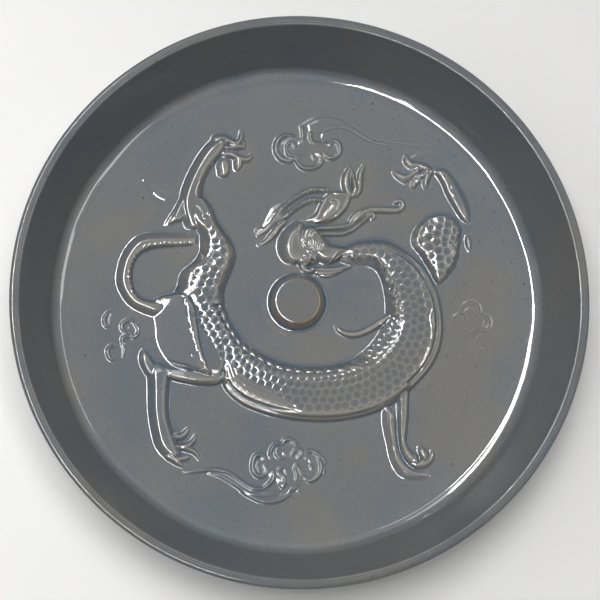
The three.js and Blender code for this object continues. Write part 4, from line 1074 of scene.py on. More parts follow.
whiskerUpper = {
    "height": 1.5,
    "flat": 0.3,
    "strands": [
        [[6.75, 28.84, 0.8, 0.9], [8.96, 28.94, 0.95, 1], [12.96, 29.14, 0.95, 1], [16.95, 29.64, 0.95, 1],
         [19.35, 30.64, 1, 1], [21.55, 32.84, 1.1, 1], [23.55, 34.64, 1.2, 1], [25.75, 35.54, 1.3, 1],
         [28.95, 35.74, 1.3, 1], [32.55, 35.64, 1.3, 1], [35.35, 35.64, 1.2, 1], [37.35, 36.34, 1.1, 1],
         [37.95, 37.84, 0.9, 0.95], [37.16, 39.04, 0.8, 0.9], [35.85, 39.14, 0.7, 0.85],
         [34.95, 38.44, 0.5, 0.75]],
        [[18.55, 31.04, 0.6, 0.7], [19.55, 32.64, 0.9, 0.9], [21.35, 34.44, 0.9, 0.9],
         [22.95, 35.44, 0.6, 0.7]],
    ],
    "scores": [
        (0.28, 0.4, [
            [[23.95, 36.04], [26.95, 36.44], [30.95, 36.24], [35.55, 36.24]],
            [[33.95, 39.04], [34.16, 37.84], [34.55, 37.44]],
            [[35.95, 37.24], [36.16, 38.44]],
        ]),
    ],
}
clay("upperWhisker", "whisker_upper", whiskerUpper)

whiskerLower = {
    "height": 1.5,
    "flat": 0.3,
    "strands": [
        [[6.16, 26.84, 0.7, 0.9], [8.96, 26.84, 0.9, 1], [12.96, 26.84, 0.9, 1], [16.35, 27.04, 0.9, 1],
         [19.35, 28.34, 0.9, 1], [21.55, 30.04, 1, 1], [23.55, 31.64, 1.1, 1], [25.55, 33.64, 1, 1],
         [26.75, 34.24, 0.8, 0.9], [27.55, 33.24, 0.7, 0.8], [26.75, 32.44, 0.6, 0.7]],
    ],
    "scores": [
        (0.28, 0.45, [[[21.95, 30.24], [23.95, 32.24], [25.55, 34.04]]]),
    ],
}
clay("lowerWhisker", "whisker_lower", whiskerLower)
print("head, hair and whiskers laid")


# Fins, tail and flames

backFin = {
    "height": 1.9,
    "flat": 0.3,
    "strands": [
        [[13.25, -6.39, 0.35, 0.5], [15.15, -8.39, 0.85, 0.85], [18.55, -9.59, 1.15, 1],
         [21.95, -9.29, 1.25, 1], [25.75, -7.59, 1.35, 1], [29.35, -5.19, 1.35, 1], [32.55, -2.99, 1.2, 1],
         [34.95, -1.39, 0.9, 0.9]],
    ],
    "scores": [
        (0.26, 0.45, [
            [[14.55, -8.59], [18.35, -10.09], [22.35, -9.79], [26.55, -7.79], [30.95, -4.79]],
            [[15.95, -7.99], [18.95, -8.89], [21.95, -8.59], [25.55, -6.79], [29.95, -3.79]],
        ]),
    ],
}
clay("backFin", "back_fin", backFin)

tail = {
    "melt": 0.34,
    "bands": [
        (2.5, 2.7, 1, [
            [-36, 26.8, -36.6, 22, 0.7], [-42, 26.8, -42, 21.7, 0.85], [-47.5, 26.8, -47.5, 21.5, 0.95],
            [-53.4, 26.6, -52, 20.9, 1], [-58, 25, -54.7, 19.8, 1], [-61.5, 21, -57.3, 17.7, 1],
            [-63.8, 16, -58.8, 14, 1], [-64.7, 9.5, -59, 10, 1], [-63.2, 4.7, -58, 5.6, 1],
            [-60, 0.3, -56, 3, 1], [-55.5, -2.2, -53, 2, 1], [-51, -3.7, -49.5, 1.8, 0.95],
            [-46.8, -3, -46.4, 1.8, 0.75],
        ]),
    ],
    "beads": [[-38, 22.7], [-42, 22.4], [-47, 22.3], [-51.5, 21.8], [-55.2, 20.4], [-57.8, 17.6],
              [-59.4, 14], [-59.6, 10], [-58.8, 6], [-56.8, 3.6], [-53, 2.8], [-48.5, 2.6]],
}
clay("dragonTail", "tail", tail)

flameUpperLeft = {
    "melt": 0.5,
    "bands": [
        (0.55, 2.3, 2, [
            [-56.6, 47.6, -56, 48.4, 0.3], [-56, 44, -53.4, 47.2, 0.72], [-54, 40.8, -50.6, 44.2, 0.95],
            [-50.6, 38, -47.4, 42.4, 1], [-46, 37, -43.6, 41.9, 0.85], [-42.4, 37.4, -40.6, 41.4, 0.7],
        ]),
    ],
    "scores": [
        (0.55, 0.34, [[[-51.6, 41.4], [-49.6, 39.8], [-47.2, 38.8]]]),
        (0.32, 0.14, [[[-54.2, 46.8], [-53.7, 44.2], [-52.3, 42]]]),
    ],
}
clay("upperLeftFlame", "flame_upper_left", flameUpperLeft)

flameRibbonRight = {
    "height": 0.32,
    "flat": 0.2,
    "strands": [
        [[40.98, 54.94, 0.6, 0.5], [43.98, 56.14, 1.2, 0.8], [47.98, 56.54, 1.5, 0.8],
         [51.98, 54.34, 1.7, 0.8], [55.98, 49.94, 1.7, 0.9], [59.58, 45.34, 1.7, 0.9],
         [62.78, 40.54, 1.7, 1], [64.78, 34.94, 1.7, 1], [65.38, 29.34, 1.6, 1], [64.78, 23.54, 1.4, 0.9],
         [63.38, 18.54, 0.6, 0.5]],
    ],
}
clay("rightRibbon", "flame_ribbon_right", flameRibbonRight)

flameRibbonLower = {
    "height": 0.2,
    "flat": 0.2,
    "strands": [
        [[60.99, -24.65, 0.5, 0.5], [59.99, -31.05, 1, 0.8], [57.39, -38.05, 1.1, 1],
         [53.59, -44.65, 1, 0.9], [49.99, -50.05, 0.5, 0.5]],
    ],
}
clay("lowerRibbon", "flame_ribbon_lower", flameRibbonLower)

foreFlameLower = {
    "melt": 0.3,
    "bands": [
        (2.1, 2.5, 1.4, [
            [29.9, -36.6, 31.2, -33.6, 0.4], [29.7, -40, 34.4, -38, 0.95], [30.2, -44, 34.8, -43.4, 1],
            [31.2, -48.4, 35.2, -48, 1], [32.1, -53, 36.4, -52.4, 1], [33.7, -57.2, 38.6, -56, 1],
            [36.4, -60.2, 41.4, -57.6, 0.8], [41, -61.4, 44.2, -58, 0.55], [46.6, -61, 46.8, -58.8, 0.25],
        ]),
    ],
    "scores": [
        (0.34, 0.5, [
            [[32, -34], [32.6, -38], [32.8, -43], [33.6, -49]],
            [[34.2, -51], [34.7, -54.4], [36.9, -57.8]],
        ]),
    ],
}
clay("lowerForeFlame", "fore_flame_lower", foreFlameLower)

elbowSpur = {
    "melt": 0.15,
    "bands": [
        (1.4, 1.1, 0.9, [
            [60.3, 27, 61, 27.2, 0.4], [60, 25, 62.4, 25, 1], [60.4, 22.8, 62.6, 22.6, 1],
            [61.2, 20.6, 61.8, 20.4, 0.4],
        ]),
    ],
}
clay("elbowSpur", "elbow_spur", elbowSpur)

heelSpurUpper = {
    "melt": 0.2,
    "bands": [
        (2.1, 1.9, 1.2, [
            [-48.2, 29.2, -47.6, 28.8, 0.3], [-46.4, 32.4, -43.6, 30.4, 0.9], [-44.2, 35.8, -40.8, 31.4, 1],
            [-42.6, 39.4, -38.8, 34, 1], [-41.4, 42, -38, 38, 1],
        ]),
    ],
    "scores": [
        (0.34, 0.45, [
            [[-47.4, 29.8], [-45.2, 33.2], [-43.2, 37], [-42, 40]],
            [[-45.6, 33], [-44, 32.5], [-41.4, 30.6]],
        ]),
    ],
}
clay("upperHeelSpur", "heel_spur_upper", heelSpurUpper)

heelSpurLower = {
    "melt": 0.2,
    "bands": [
        (2, 2, 1.2, [
            [-55.3, -14.8, -54.9, -14.9, 0.3], [-56.3, -17.4, -53.2, -17, 0.9],
            [-56.2, -19.6, -51.4, -19.2, 1], [-55.4, -21.8, -50, -21, 1], [-53.8, -24.6, -49.6, -24, 1],
        ]),
    ],
    "scores": [
        (0.36, 0.4, [[[-55, -15.2], [-53.4, -17.6], [-51.4, -19.3]]]),
    ],
}
clay("lowerHeelSpur", "heel_spur_lower", heelSpurLower)
print("fins, tail and flames laid")


# Hind legs

hip = {
    "melt": 0.35,
    "bands": [
        (6, 13.5, 1.5, [
            [-57.2, -1.2, -48, 3.6, 0.4], [-52.2, -3.2, -39.6, 4.6, 0.85], [-50.7, -7, -36, 0.4, 1],
            [-50.5, -11, -34.8, -5.1, 1], [-49.4, -14.6, -33.6, -12.9, 1], [-47, -18.4, -31.6, -19.7, 1],
            [-43.6, -21.2, -30.2, -23.7, 1.05], [-39.6, -22.8, -29.4, -25, 1],
        ], ((0, 0.852, 1), (0, 0.875, 1))),
    ],
    "jag": [[-41, 3.2], [-39, -1.5], [-38.3, -6.6], [-36.4, -13.2], [-34.2, -18.6], [-32, -22.4]],
}
clay("dragonHip", "hip", hip)

hindThighLower = {
    "melt": 0.3,
    "bands": [
        (4.45, 2.3, 2.2, [
            [-43.6, 2, -36, 4.6, 0.7], [-43, -1.4, -27.4, -2, 0.9], [-42.4, -5.6, -25.4, -6, 1],
            [-42, -9.6, -24.8, -10, 1], [-40.4, -13.4, -24.4, -14, 1], [-38.4, -17, -24.2, -18, 1],
            [-36, -20.6, -24.6, -22, 0.95], [-33.8, -24, -25.8, -25, 0.7], [-32, -27, -27.6, -26.8, 0.4],
        ]),
        (2.9, 1.2, 1.2, [
            [-47.6, -21, -46.6, -25.4, 0.7], [-43, -22.2, -43.4, -26.4, 0.9], [-38, -22.6, -38.4, -27.4, 1],
            [-33, -22.4, -33, -28, 1], [-28, -22, -28.4, -27.6, 0.9], [-25, -21, -25.4, -25.6, 0.7],
        ]),
    ],
    "scores": [
        (0.36, 0.45, [
            [[-45.34, -23.51], [-42.74, -23.91], [-40.14, -24.81]],
            [[-40.54, -23.71], [-37.14, -23.41], [-33.54, -22.91]],
            [[-46.54, -24.91], [-42.14, -26.11], [-36.14, -27.51], [-30.54, -27.71], [-26.54, -26.11],
             [-25.34, -23.51]],
        ]),
    ],
}
clay("lowerHindThigh", "hind_thigh_lower", hindThighLower)

hindShinLower = {
    "melt": 0.3,
    "bands": [
        (2.8, 3.1, 1.7, [
            [-54.6, -22.8, -48.8, -19.6, 0.5], [-53.4, -25, -45.2, -23.4, 0.95],
            [-53.1, -30, -45.4, -29.6, 1], [-53, -35, -45.6, -35, 1], [-52.5, -40, -45.2, -39.8, 1],
            [-51.6, -45, -44, -43.8, 1], [-50.4, -49.2, -43, -46.6, 0.95], [-48.2, -52.6, -42, -49.6, 0.85],
            [-45.2, -55, -41, -52, 0.6],
        ]),
    ],
}
clay("lowerHindShin", "hind_shin_lower", hindShinLower)

hindPawLower = {
    "height": 1.9,
    "flat": 0.2,
    "melt": 0.22,
    "strands": [
        [[-45.65, -45.96, 1.1, 0.8], [-43.65, -46.16, 1.2, 1], [-41.45, -46.36, 1.2, 1],
         [-39.84, -45.36, 1.2, 1], [-38.84, -43.96, 0.88, 0.8], [-38.05, -43.36, 0.62, 0.5]],
        [[-45.05, -49.56, 1.4, 1], [-42.45, -49.76, 1.4, 1], [-39.84, -49.76, 1.2, 1],
         [-37.84, -48.96, 1.1, 0.9], [-36.45, -47.36, 0.88, 0.8], [-35.84, -45.76, 0.5, 0.5]],
        [[-39.65, -50.56, 1, 0.9], [-37.45, -50.96, 1.1, 0.9], [-35.65, -52.16, 0.88, 0.8],
         [-34.65, -53.96, 0.5, 0.5]],
        [[-45.45, -53.16, 1.5, 1], [-43.05, -54.16, 1.5, 1], [-40.45, -53.96, 1.4, 0.95],
         [-38.45, -53.36, 0.88, 0.7]],
        [[-43.45, -44.96, 0.75, 0.8], [-42.25, -44.56, 0.75, 0.8]],
    ],
    "bands": [
        (1.6, 1, 0.8, [
            [-44.8, -54.6, -43, -53.8, 0.6], [-43.4, -56, -41.4, -54.4, 1], [-40.6, -57.2, -39.8, -56, 0.5],
        ]),
    ],
    "scores": [
        (0.28, 0.6, [
            [[-44.05, -52.36], [-43.25, -53.56]],
            [[-40.25, -43.76], [-39.25, -43.36], [-38.65, -43.96]],
            [[-37.84, -48.56], [-36.84, -48.16], [-36.45, -48.96], [-35.84, -49.96]],
            [[-41.65, -50.76], [-39.65, -50.46], [-38.05, -50.76]],
        ]),
    ],
    "beads": [[-42.6, -47.6], [-40.6, -47.8], [-39.4, -49.6], [-41.4, -51.6]],
}
clay("lowerHindPaw", "hind_paw_lower", hindPawLower)

hindShinUpper = {
    "melt": 0.3,
    "bands": [
        (3.1, 3, 1.8, [
            [-40.6, 28.6, -34.6, 28.4, 0.5], [-41.4, 31.4, -34.2, 30.8, 0.8],
            [-42.4, 34.6, -34.2, 34, 0.95], [-42.8, 38, -34.2, 37.6, 1], [-42.2, 41.2, -34, 41, 1],
            [-41.2, 44.4, -33.8, 44.4, 1], [-39.5, 48.6, -32.4, 48, 1], [-37.5, 52.6, -30.4, 51.4, 1],
            [-35.1, 56.6, -27.6, 54.8, 1], [-32.4, 59.8, -25.6, 57.6, 0.95], [-30, 62, -24.6, 60, 0.7],
        ]),
    ],
    "scores": [
        (0.3, 0.5, [
            [[-36.2, 40.2], [-36.3, 41.6], [-35.6, 43.8], [-34.9, 45.6]],
            [[-35.9, 36.4], [-34.8, 35.2], [-33.8, 33.6]],
        ]),
    ],
    "beads": [[-33.6, 39.8], [-31.6, 38], [-30.4, 35.6], [-31.4, 33.4], [-33, 32.2]],
}
clay("upperHindShin", "hind_shin_upper", hindShinUpper)

hindPawUpper = {
    "height": 1.9,
    "flat": 0.2,
    "melt": 0.22,
    "strands": [
        [[-29.65, 61.04, 1.8, 0.9], [-27.05, 61.44, 1.8, 1], [-24.45, 60.44, 1.4, 1],
         [-22.45, 59.64, 1.2, 1], [-20.95, 60.64, 1.1, 1], [-20.25, 62.44, 1, 0.9],
         [-20.45, 64.24, 0.5, 0.5]],
        [[-28.05, 58.44, 1.8, 0.9], [-25.05, 58.04, 1.5, 1], [-22.65, 58.24, 1.2, 1],
         [-21.05, 58.64, 1.1, 1], [-19.65, 58.44, 1, 0.9], [-19.25, 60.04, 0.75, 0.7]],
        [[-26.65, 55.64, 1.5, 0.9], [-24.05, 55.64, 1.5, 1], [-21.45, 54.44, 1.2, 1],
         [-19.05, 53.74, 1.2, 1], [-17.35, 54.24, 1, 0.9], [-16.65, 55.64, 0.5, 0.5]],
    ],
    "bands": [
        (1.9, 2.5, 0.8, [
            [-28.6, 54.6, -25.6, 54.6, 0.5], [-29.7, 52.4, -24.6, 52.2, 1], [-29.3, 50, -24.4, 50, 1],
            [-29, 48, -25, 48.2, 1], [-27.8, 47.2, -26.2, 47.2, 0.4],
        ]),
        (1.7, 1.9, 0.8, [
            [-23.2, 55.6, -21, 55.4, 0.5], [-23.5, 53.4, -19.8, 53.2, 1], [-23.3, 51.4, -20.2, 51, 1],
            [-23.4, 49.8, -21.2, 49.6, 0.5],
        ]),
        (1.3, 1.2, 0.6, [
            [-27.4, 57, -26, 57.2, 0.5], [-26, 55.8, -24.4, 56.2, 1], [-25, 54.8, -23.8, 55, 0.5],
        ]),
    ],
    "scores": [
        (0.28, 0.5, [
            [[-24.85, 49.64], [-24.05, 48.84], [-23.05, 48.24]],
            [[-20.25, 53.04], [-20.45, 51.44], [-20.15, 50.04]],
            [[-18.65, 52.44], [-18.05, 53.24]],
        ]),
    ],
    "beads": [[-27.6, 60], [-25.4, 59.6], [-25.2, 57.4], [-26.8, 56.6]],
}
clay("upperHindPaw", "hind_paw_upper", hindPawUpper)
print("hind legs laid")


# Forelegs

forearmUpper = {
    "melt": 0.25,
    "bands": [
        (2.1, 1.6, 2.4, [
            [47.8, 50.2, 49.6, 51.4, 0.4], [49.8, 48.6, 54.4, 50.4, 1], [51.8, 45.6, 57.6, 46.6, 1],
            [53.2, 42, 60, 42, 1], [55.4, 38, 61.8, 37.8, 1], [57.2, 34.8, 62.6, 34, 0.95],
            [58.8, 32.8, 62.4, 30.8, 0.6],
        ]),
    ],
    "scores": [
        (0.4, 0.5, [[[55.4, 44.4], [55.6, 43.8]], [[55.8, 41.6], [56.2, 41]]]),
    ],
}
clay("upperForearm", "forearm_upper", forearmUpper)

forePawUpper = {
    "height": 1.9,
    "flat": 0.2,
    "melt": 0.22,
    "strands": [
        [[48.35, 49.84, 1.2, 0.9], [45.95, 51.44, 1.5, 1], [43.35, 52.24, 1.5, 1], [41.16, 52.44, 1.4, 1],
         [39.75, 53.84, 1.2, 0.9], [38.95, 55.44, 0.62, 0.6]],
        [[43.35, 50.44, 1.2, 0.9], [41.16, 48.84, 1.4, 1], [38.95, 47.64, 1.4, 1], [36.55, 48.24, 1.4, 1],
         [34.75, 49.64, 0.62, 0.6]],
        [[46.35, 49.24, 1.2, 1], [44.16, 48.24, 1.5, 1], [42.55, 46.24, 1.4, 1], [41.75, 44.64, 1.1, 0.9]],
        [[47.16, 48.44, 1.2, 1], [46.16, 46.44, 1.4, 1], [46.16, 44.64, 1, 0.8]],
    ],
    "bands": [
        (1.5, 1.1, 0.6, [
            [38.4, 55.6, 39.2, 55.4, 0.4], [38, 53.8, 40, 54, 1], [39.2, 51.8, 40.8, 52.4, 1],
            [40.2, 50.9, 41.6, 51.6, 0.5],
        ]),
        (1.6, 1.2, 0.7, [
            [34.2, 49.6, 35, 50.2, 0.4], [35.4, 47.8, 37, 49.2, 1], [37, 46.2, 38.8, 48, 1],
            [38.6, 45.2, 39.4, 46.2, 0.4],
        ]),
    ],
    "scores": [
        (0.28, 0.55, [
            [[41.95, 46.44], [42.55, 48.04], [43.75, 48.64]],
            [[42.95, 45.24], [43.16, 46.64], [43.75, 47.44]],
            [[41.75, 50.64], [42.35, 51.64]],
        ]),
    ],
    "coils": [(40.75, 44.24, 0.8, 1.1, 60, 0.3, 0.7)],
    "beads": [[46.6, 50.6], [44.8, 50.8], [43.2, 50.2], [43.6, 48.6], [45.2, 48]],
}
clay("upperForePaw", "fore_paw_upper", forePawUpper)

foreShinLower = {
    "melt": 0.22,
    "bands": [
        (2.2, 1.5, 0.9, [
            [35, -28.6, 39.6, -28.4, 0.6], [35.1, -32, 39.4, -32, 1], [35.1, -38, 39.2, -38, 1],
            [35.2, -43, 38.8, -43, 1], [35.6, -47.4, 38.4, -47.4, 1], [36.2, -51, 39.4, -50.2, 1],
            [37.6, -53.8, 41, -52.4, 1], [39.6, -55.8, 42.4, -54, 0.8], [41.6, -56.6, 43.4, -55.4, 0.4],
        ]),
    ],
    "scores": [
        (0.28, 0.35, [
            [[36.2, -30.6], [36.5, -36], [36.6, -42], [36.6, -46.8]],
            [[38.9, -30], [39, -36], [38.8, -42], [38.2, -46.4]],
            [[36.4, -48], [36.8, -51], [39, -54.6]],
            [[37.4, -48.6], [38, -51], [40, -54]],
        ]),
    ],
}
clay("lowerForeShin", "fore_shin_lower", foreShinLower)

forePawLower = {
    "height": 1.7,
    "flat": 0.2,
    "melt": 0.22,
    "strands": [
        [[40.36, -55.33, 1.4, 0.9], [42.36, -55.93, 1.6, 1], [44.76, -55.53, 1.5, 1],
         [46.56, -54.33, 1.2, 0.9], [47.56, -52.53, 1, 0.8], [47.36, -50.73, 0.5, 0.5]],
        [[39.96, -53.93, 1, 0.9], [41.36, -52.73, 1, 0.9], [41.56, -54.73, 1, 0.9]],
        [[44.56, -54.13, 1.1, 0.9], [45.56, -52.53, 1, 0.9], [45.76, -51.13, 0.62, 0.6]],
    ],
    "bands": [
        (1.7, 1.3, 0.7, [
            [42.2, -49, 43.6, -49, 0.4], [42.4, -51, 45.2, -50.8, 1], [43, -53, 45.8, -52.6, 1],
            [43.8, -54.8, 45.6, -54, 0.6],
        ]),
    ],
    "scores": [
        (0.26, 0.5, [
            [[40.96, -54.13], [41.56, -53.33], [41.96, -54.53], [41.56, -55.33]],
            [[44.56, -53.93], [45.16, -53.33]],
        ]),
    ],
    "beads": [[41.6, -54.6], [43.4, -54.6], [44.8, -53.4]],
}
clay("lowerForePaw", "fore_paw_lower", forePawLower)
print("forelegs laid")


# Clouds

cloudTopScrolls = {
    "height": 1.5,
    "flat": 0.15,
    "melt": 0.1,
    # Lighter lines along the strands' sides, partly a painted highlight, with a painted shade along their
    # middles
    "sheenEdges": (0.26, 0.08, 0.4),
    "strands": [
        [[-1.64, 62.47, 0.7, 0.8], [-3.64, 62.87, 0.8, 0.9], [-5.64, 62.47, 0.9, 1], [-7.24, 60.87, 1.2, 1],
         [-7.84, 58.27, 1.3, 1], [-7.24, 55.87, 1.3, 1], [-5.64, 54.07, 1.2, 1], [-3.24, 53.47, 0.9, 0.9],
         [-0.84, 54.27, 0.6, 0.7]],
        [[-1.04, 58.57, 0.7, 1], [-1.84, 60.07, 0.7, 0.8], [-3.44, 59.87, 0.8, 0.9],
         [-4.14, 58.27, 0.8, 0.9], [-3.74, 56.47, 0.8, 0.9], [-2.44, 55.37, 0.8, 0.9],
         [-0.64, 55.47, 0.6, 0.7]],
        [[1.76, 54.67, 0.6, 0.7], [0.36, 54.87, 0.8, 0.9], [-0.24, 53.37, 0.9, 1], [0.86, 51.67, 0.9, 1],
         [2.96, 50.77, 0.9, 1], [5.56, 50.97, 0.9, 1], [7.76, 52.07, 0.9, 1], [8.76, 54.07, 0.8, 1],
         [7.96, 55.77, 0.7, 0.8], [6.76, 56.07, 0.5, 0.6]],
        [[5.16, 55.87, 0.5, 0.8], [5.56, 54.67, 0.6, 0.9], [6.56, 54.67, 0.5, 0.8]],
        [[9.76, 56.27, 0.6, 0.8], [10.56, 55.07, 0.8, 1], [12.76, 54.77, 0.9, 1], [14.56, 55.87, 0.9, 1],
         [15.26, 58.27, 0.9, 1], [14.56, 60.27, 0.8, 1], [12.96, 61.07, 0.7, 0.9], [11.56, 60.27, 0.6, 0.8],
         [11.36, 59.27, 0.4, 0.6]],
        [[1.36, 66.07, 0.7, 1], [1.76, 63.87, 0.7, 0.8], [1.56, 61.67, 0.7, 0.7], [0.56, 60.07, 0.6, 0.6]],
        [[4.66, 64.27, 0.7, 1], [4.56, 62.47, 0.7, 1], [5.16, 60.67, 0.7, 0.9], [7.16, 60.07, 0.6, 0.8],
         [9.56, 60.07, 0.6, 0.8], [11.96, 59.47, 0.5, 0.6]],
    ],
    "bands": [
        (0.45, 1.2, 1.2, [
            [-6.8, 60, -6.4, 56, 0.6], [-3, 62.4, -2.6, 54.6, 1], [2, 62, 2, 52, 1], [6, 61, 6, 52.4, 1],
            [10, 60.6, 10, 55.4, 1], [14, 60, 14, 56, 0.6],
        ]),
    ],
}
clay("topCloud", "cloud_top", cloudTopScrolls)

cloudTopTail = {
    "height": 0.3,
    "flat": 0.2,
    "melt": 0.1,
    # Lighter lines along the strands' sides, partly a painted highlight, with a painted shade along their
    # middles
    "sheenEdges": (0.3, 0.1, 0.7),
    "strands": [
        [[1.57, 66.7, 0.6, 0.8], [3.77, 68.1, 0.8, 0.9], [6.77, 69.5, 0.9, 1], [10.97, 69.9, 0.9, 1],
         [15.37, 68.9, 0.9, 1], [19.57, 66.5, 0.9, 1], [23.57, 63.7, 0.9, 1], [27.77, 61.5, 0.9, 1],
         [32.97, 60.6, 0.9, 1], [38.77, 60.1, 0.6, 0.7], [43.97, 59.9, 0.4, 0.5]],
        [[9.77, 60.5, 0.6, 0.8], [9.07, 62.5, 0.8, 0.9], [9.97, 64.5, 0.9, 1], [12.97, 65.5, 0.9, 1],
         [16.97, 65.3, 0.9, 1], [20.57, 63.7, 0.9, 1], [24.37, 61.5, 0.9, 1], [27.97, 60.1, 0.8, 0.9],
         [31.97, 59.7, 0.6, 0.7]],
    ],
    "bands": [
        (0.5, 1, 1, [
            [3.6, 67.6, 4.8, 63.4, 0.5], [8, 69.4, 9.2, 64, 0.9], [13, 69.4, 13, 65.8, 1],
            [18, 67.2, 16.6, 65.2, 1], [24, 63.4, 22.6, 62, 0.8], [30, 60.9, 29.6, 59.8, 0.4],
        ]),
    ],
}
clay("topCloudTail", "cloud_top_tail", cloudTopTail)

cloudBottomScrolls = {
    "height": 1.5,
    "flat": 0.15,
    "melt": 0.1,
    # Lighter lines along the strands' sides, partly a painted highlight, with a painted shade along their
    # middles
    "sheenEdges": (0.26, 0.08, 0.4),
    "strands": [
        [[-11.24, -53.53, 0.6, 0.8], [-12.84, -52.53, 0.8, 0.9], [-14.84, -52.93, 0.9, 1],
         [-15.74, -54.93, 0.95, 1], [-15.74, -57.53, 0.95, 1], [-14.64, -59.53, 0.9, 0.9],
         [-12.84, -60.03, 0.8, 0.9], [-11.04, -59.13, 0.7, 0.8], [-10.84, -57.53, 0.6, 0.8],
         [-11.84, -56.53, 0.5, 0.7]],
        [[-13.64, -54.53, 0.5, 0.7], [-14.24, -56.33, 0.6, 0.8], [-13.44, -58.13, 0.5, 0.7]],
        [[-9.64, -53.73, 0.5, 0.7], [-9.44, -51.13, 0.8, 1], [-8.24, -49.13, 0.8, 1],
         [-6.44, -48.53, 0.7, 0.9], [-5.44, -49.13, 0.5, 0.7]],
        [[-5.24, -50.13, 0.5, 0.7], [-7.04, -50.13, 0.8, 0.9], [-7.74, -51.73, 0.8, 1],
         [-6.84, -53.33, 0.8, 1], [-5.24, -53.63, 0.7, 0.9], [-4.44, -52.63, 0.6, 0.8],
         [-5.24, -51.73, 0.4, 0.6]],
        [[-5.24, -48.33, 0.5, 0.8], [-4.64, -47.33, 0.7, 1], [-2.84, -47.03, 0.8, 1],
         [-1.04, -47.93, 0.7, 0.9], [-0.44, -49.13, 0.5, 0.6]],
        [[-2.04, -52.93, 0.6, 1], [-1.64, -51.53, 0.7, 1], [-0.24, -50.53, 0.8, 0.9],
         [1.26, -51.13, 0.7, 0.9], [1.26, -52.53, 0.7, 0.9], [-0.04, -53.33, 0.6, 0.8]],
        [[3.36, -51.33, 0.6, 1], [5.16, -51.13, 0.8, 0.9], [7.16, -52.33, 0.8, 0.9],
         [8.96, -53.73, 0.6, 0.7], [9.76, -55.33, 0.5, 0.6]],
        [[2.76, -53.53, 0.6, 1], [3.96, -53.73, 0.6, 0.9], [4.56, -54.93, 0.5, 0.7]],
        [[4.56, -56.13, 0.7, 1], [4.96, -57.53, 0.6, 0.9]],
        [[7.36, -53.93, 0.6, 0.9], [8.26, -55.93, 0.8, 1], [8.06, -58.13, 0.9, 1], [6.96, -60.13, 0.8, 1],
         [4.56, -61.53, 0.7, 0.9], [2.36, -60.93, 0.5, 0.7]],
        [[9.36, -57.13, 0.4, 0.6], [9.16, -58.93, 0.4, 0.6]],
        [[3.56, -59.13, 0.5, 0.7], [1.56, -58.73, 0.7, 0.9], [0.46, -57.33, 0.7, 1],
         [-0.44, -56.13, 0.7, 1], [-1.04, -57.53, 0.8, 1], [-0.44, -59.33, 0.7, 1],
         [-0.54, -61.13, 0.6, 0.9]],
        [[-5.04, -57.13, 0.6, 0.9], [-6.64, -57.53, 0.8, 1], [-6.24, -59.13, 0.8, 1],
         [-4.84, -60.13, 0.8, 1], [-4.64, -62.13, 0.8, 1], [-5.44, -63.73, 0.7, 0.9],
         [-6.24, -62.53, 0.6, 0.8]],
        [[-4.24, -57.73, 0.6, 0.9], [-3.94, -59.13, 0.6, 0.8]],
        [[-8.64, -58.73, 0.6, 0.8], [-8.44, -60.33, 0.9, 0.9], [-9.44, -62.13, 0.9, 0.9],
         [-11.44, -63.73, 0.6, 0.8]],
        [[-2.44, -65.13, 0.5, 0.9], [-1.44, -64.33, 0.6, 0.9], [0.16, -64.13, 0.6, 0.8],
         [0.36, -65.33, 0.4, 0.6]],
    ],
    "bands": [
        (0.5, 1.2, 1.2, [
            [-14.6, -54.4, -14.4, -58.2, 0.5], [-11, -52.4, -10.6, -59.6, 0.9], [-6, -49, -6, -62.4, 1],
            [-1, -48.6, -1, -63, 1], [4, -51.8, 4, -61, 1], [8.4, -54, 8.2, -59.4, 0.5],
        ]),
    ],
}
clay("bottomCloud", "cloud_bottom", cloudBottomScrolls)

cloudBottomTail = {
    "height": 1.2,
    "flat": 0.2,
    "melt": 0.1,
    # Lighter lines along the strands' sides, partly a painted highlight, with a painted shade along their
    # middles
    "sheenEdges": (0.26, 0.08, 0.4),
    "strands": [
        [[-11.83, -64.3, 0.6, 0.8], [-14.43, -64.5, 0.9, 1], [-17.43, -63.7, 0.9, 1],
         [-20.63, -61.5, 0.9, 1], [-24.03, -59.1, 0.9, 1], [-27.63, -58, 0.9, 1], [-32.03, -57.9, 0.8, 0.9],
         [-36.63, -58.5, 0.6, 0.8], [-40.03, -58.7, 0.4, 0.5]],
        [[-6.43, -65.3, 0.6, 0.7], [-9.03, -66.5, 0.7, 0.8], [-13.03, -66.9, 0.8, 0.9],
         [-17.03, -66, 0.8, 1], [-20.43, -64, 0.8, 1], [-23.83, -61.8, 0.8, 0.9], [-27.03, -60, 0.7, 0.8],
         [-31.03, -59, 0.5, 0.6]],
        [[-2.63, -66, 0.6, 0.8], [-5.23, -67.9, 0.8, 0.9], [-8.83, -69, 0.9, 0.9],
         [-13.03, -68.7, 0.8, 0.8], [-17.03, -67, 0.6, 0.8], [-20.03, -65.3, 0.5, 0.6]],
    ],
    "bands": [
        (0.5, 0.8, 0.8, [
            [-6, -65.2, -6, -68, 0.6], [-11, -65.2, -11, -68.6, 1], [-16, -64.4, -16, -67.6, 1],
            [-22, -61.2, -22, -63.6, 1], [-28, -58.4, -28, -60, 0.5],
        ]),
    ],
}
clay("bottomCloudTail", "cloud_bottom_tail", cloudBottomTail)

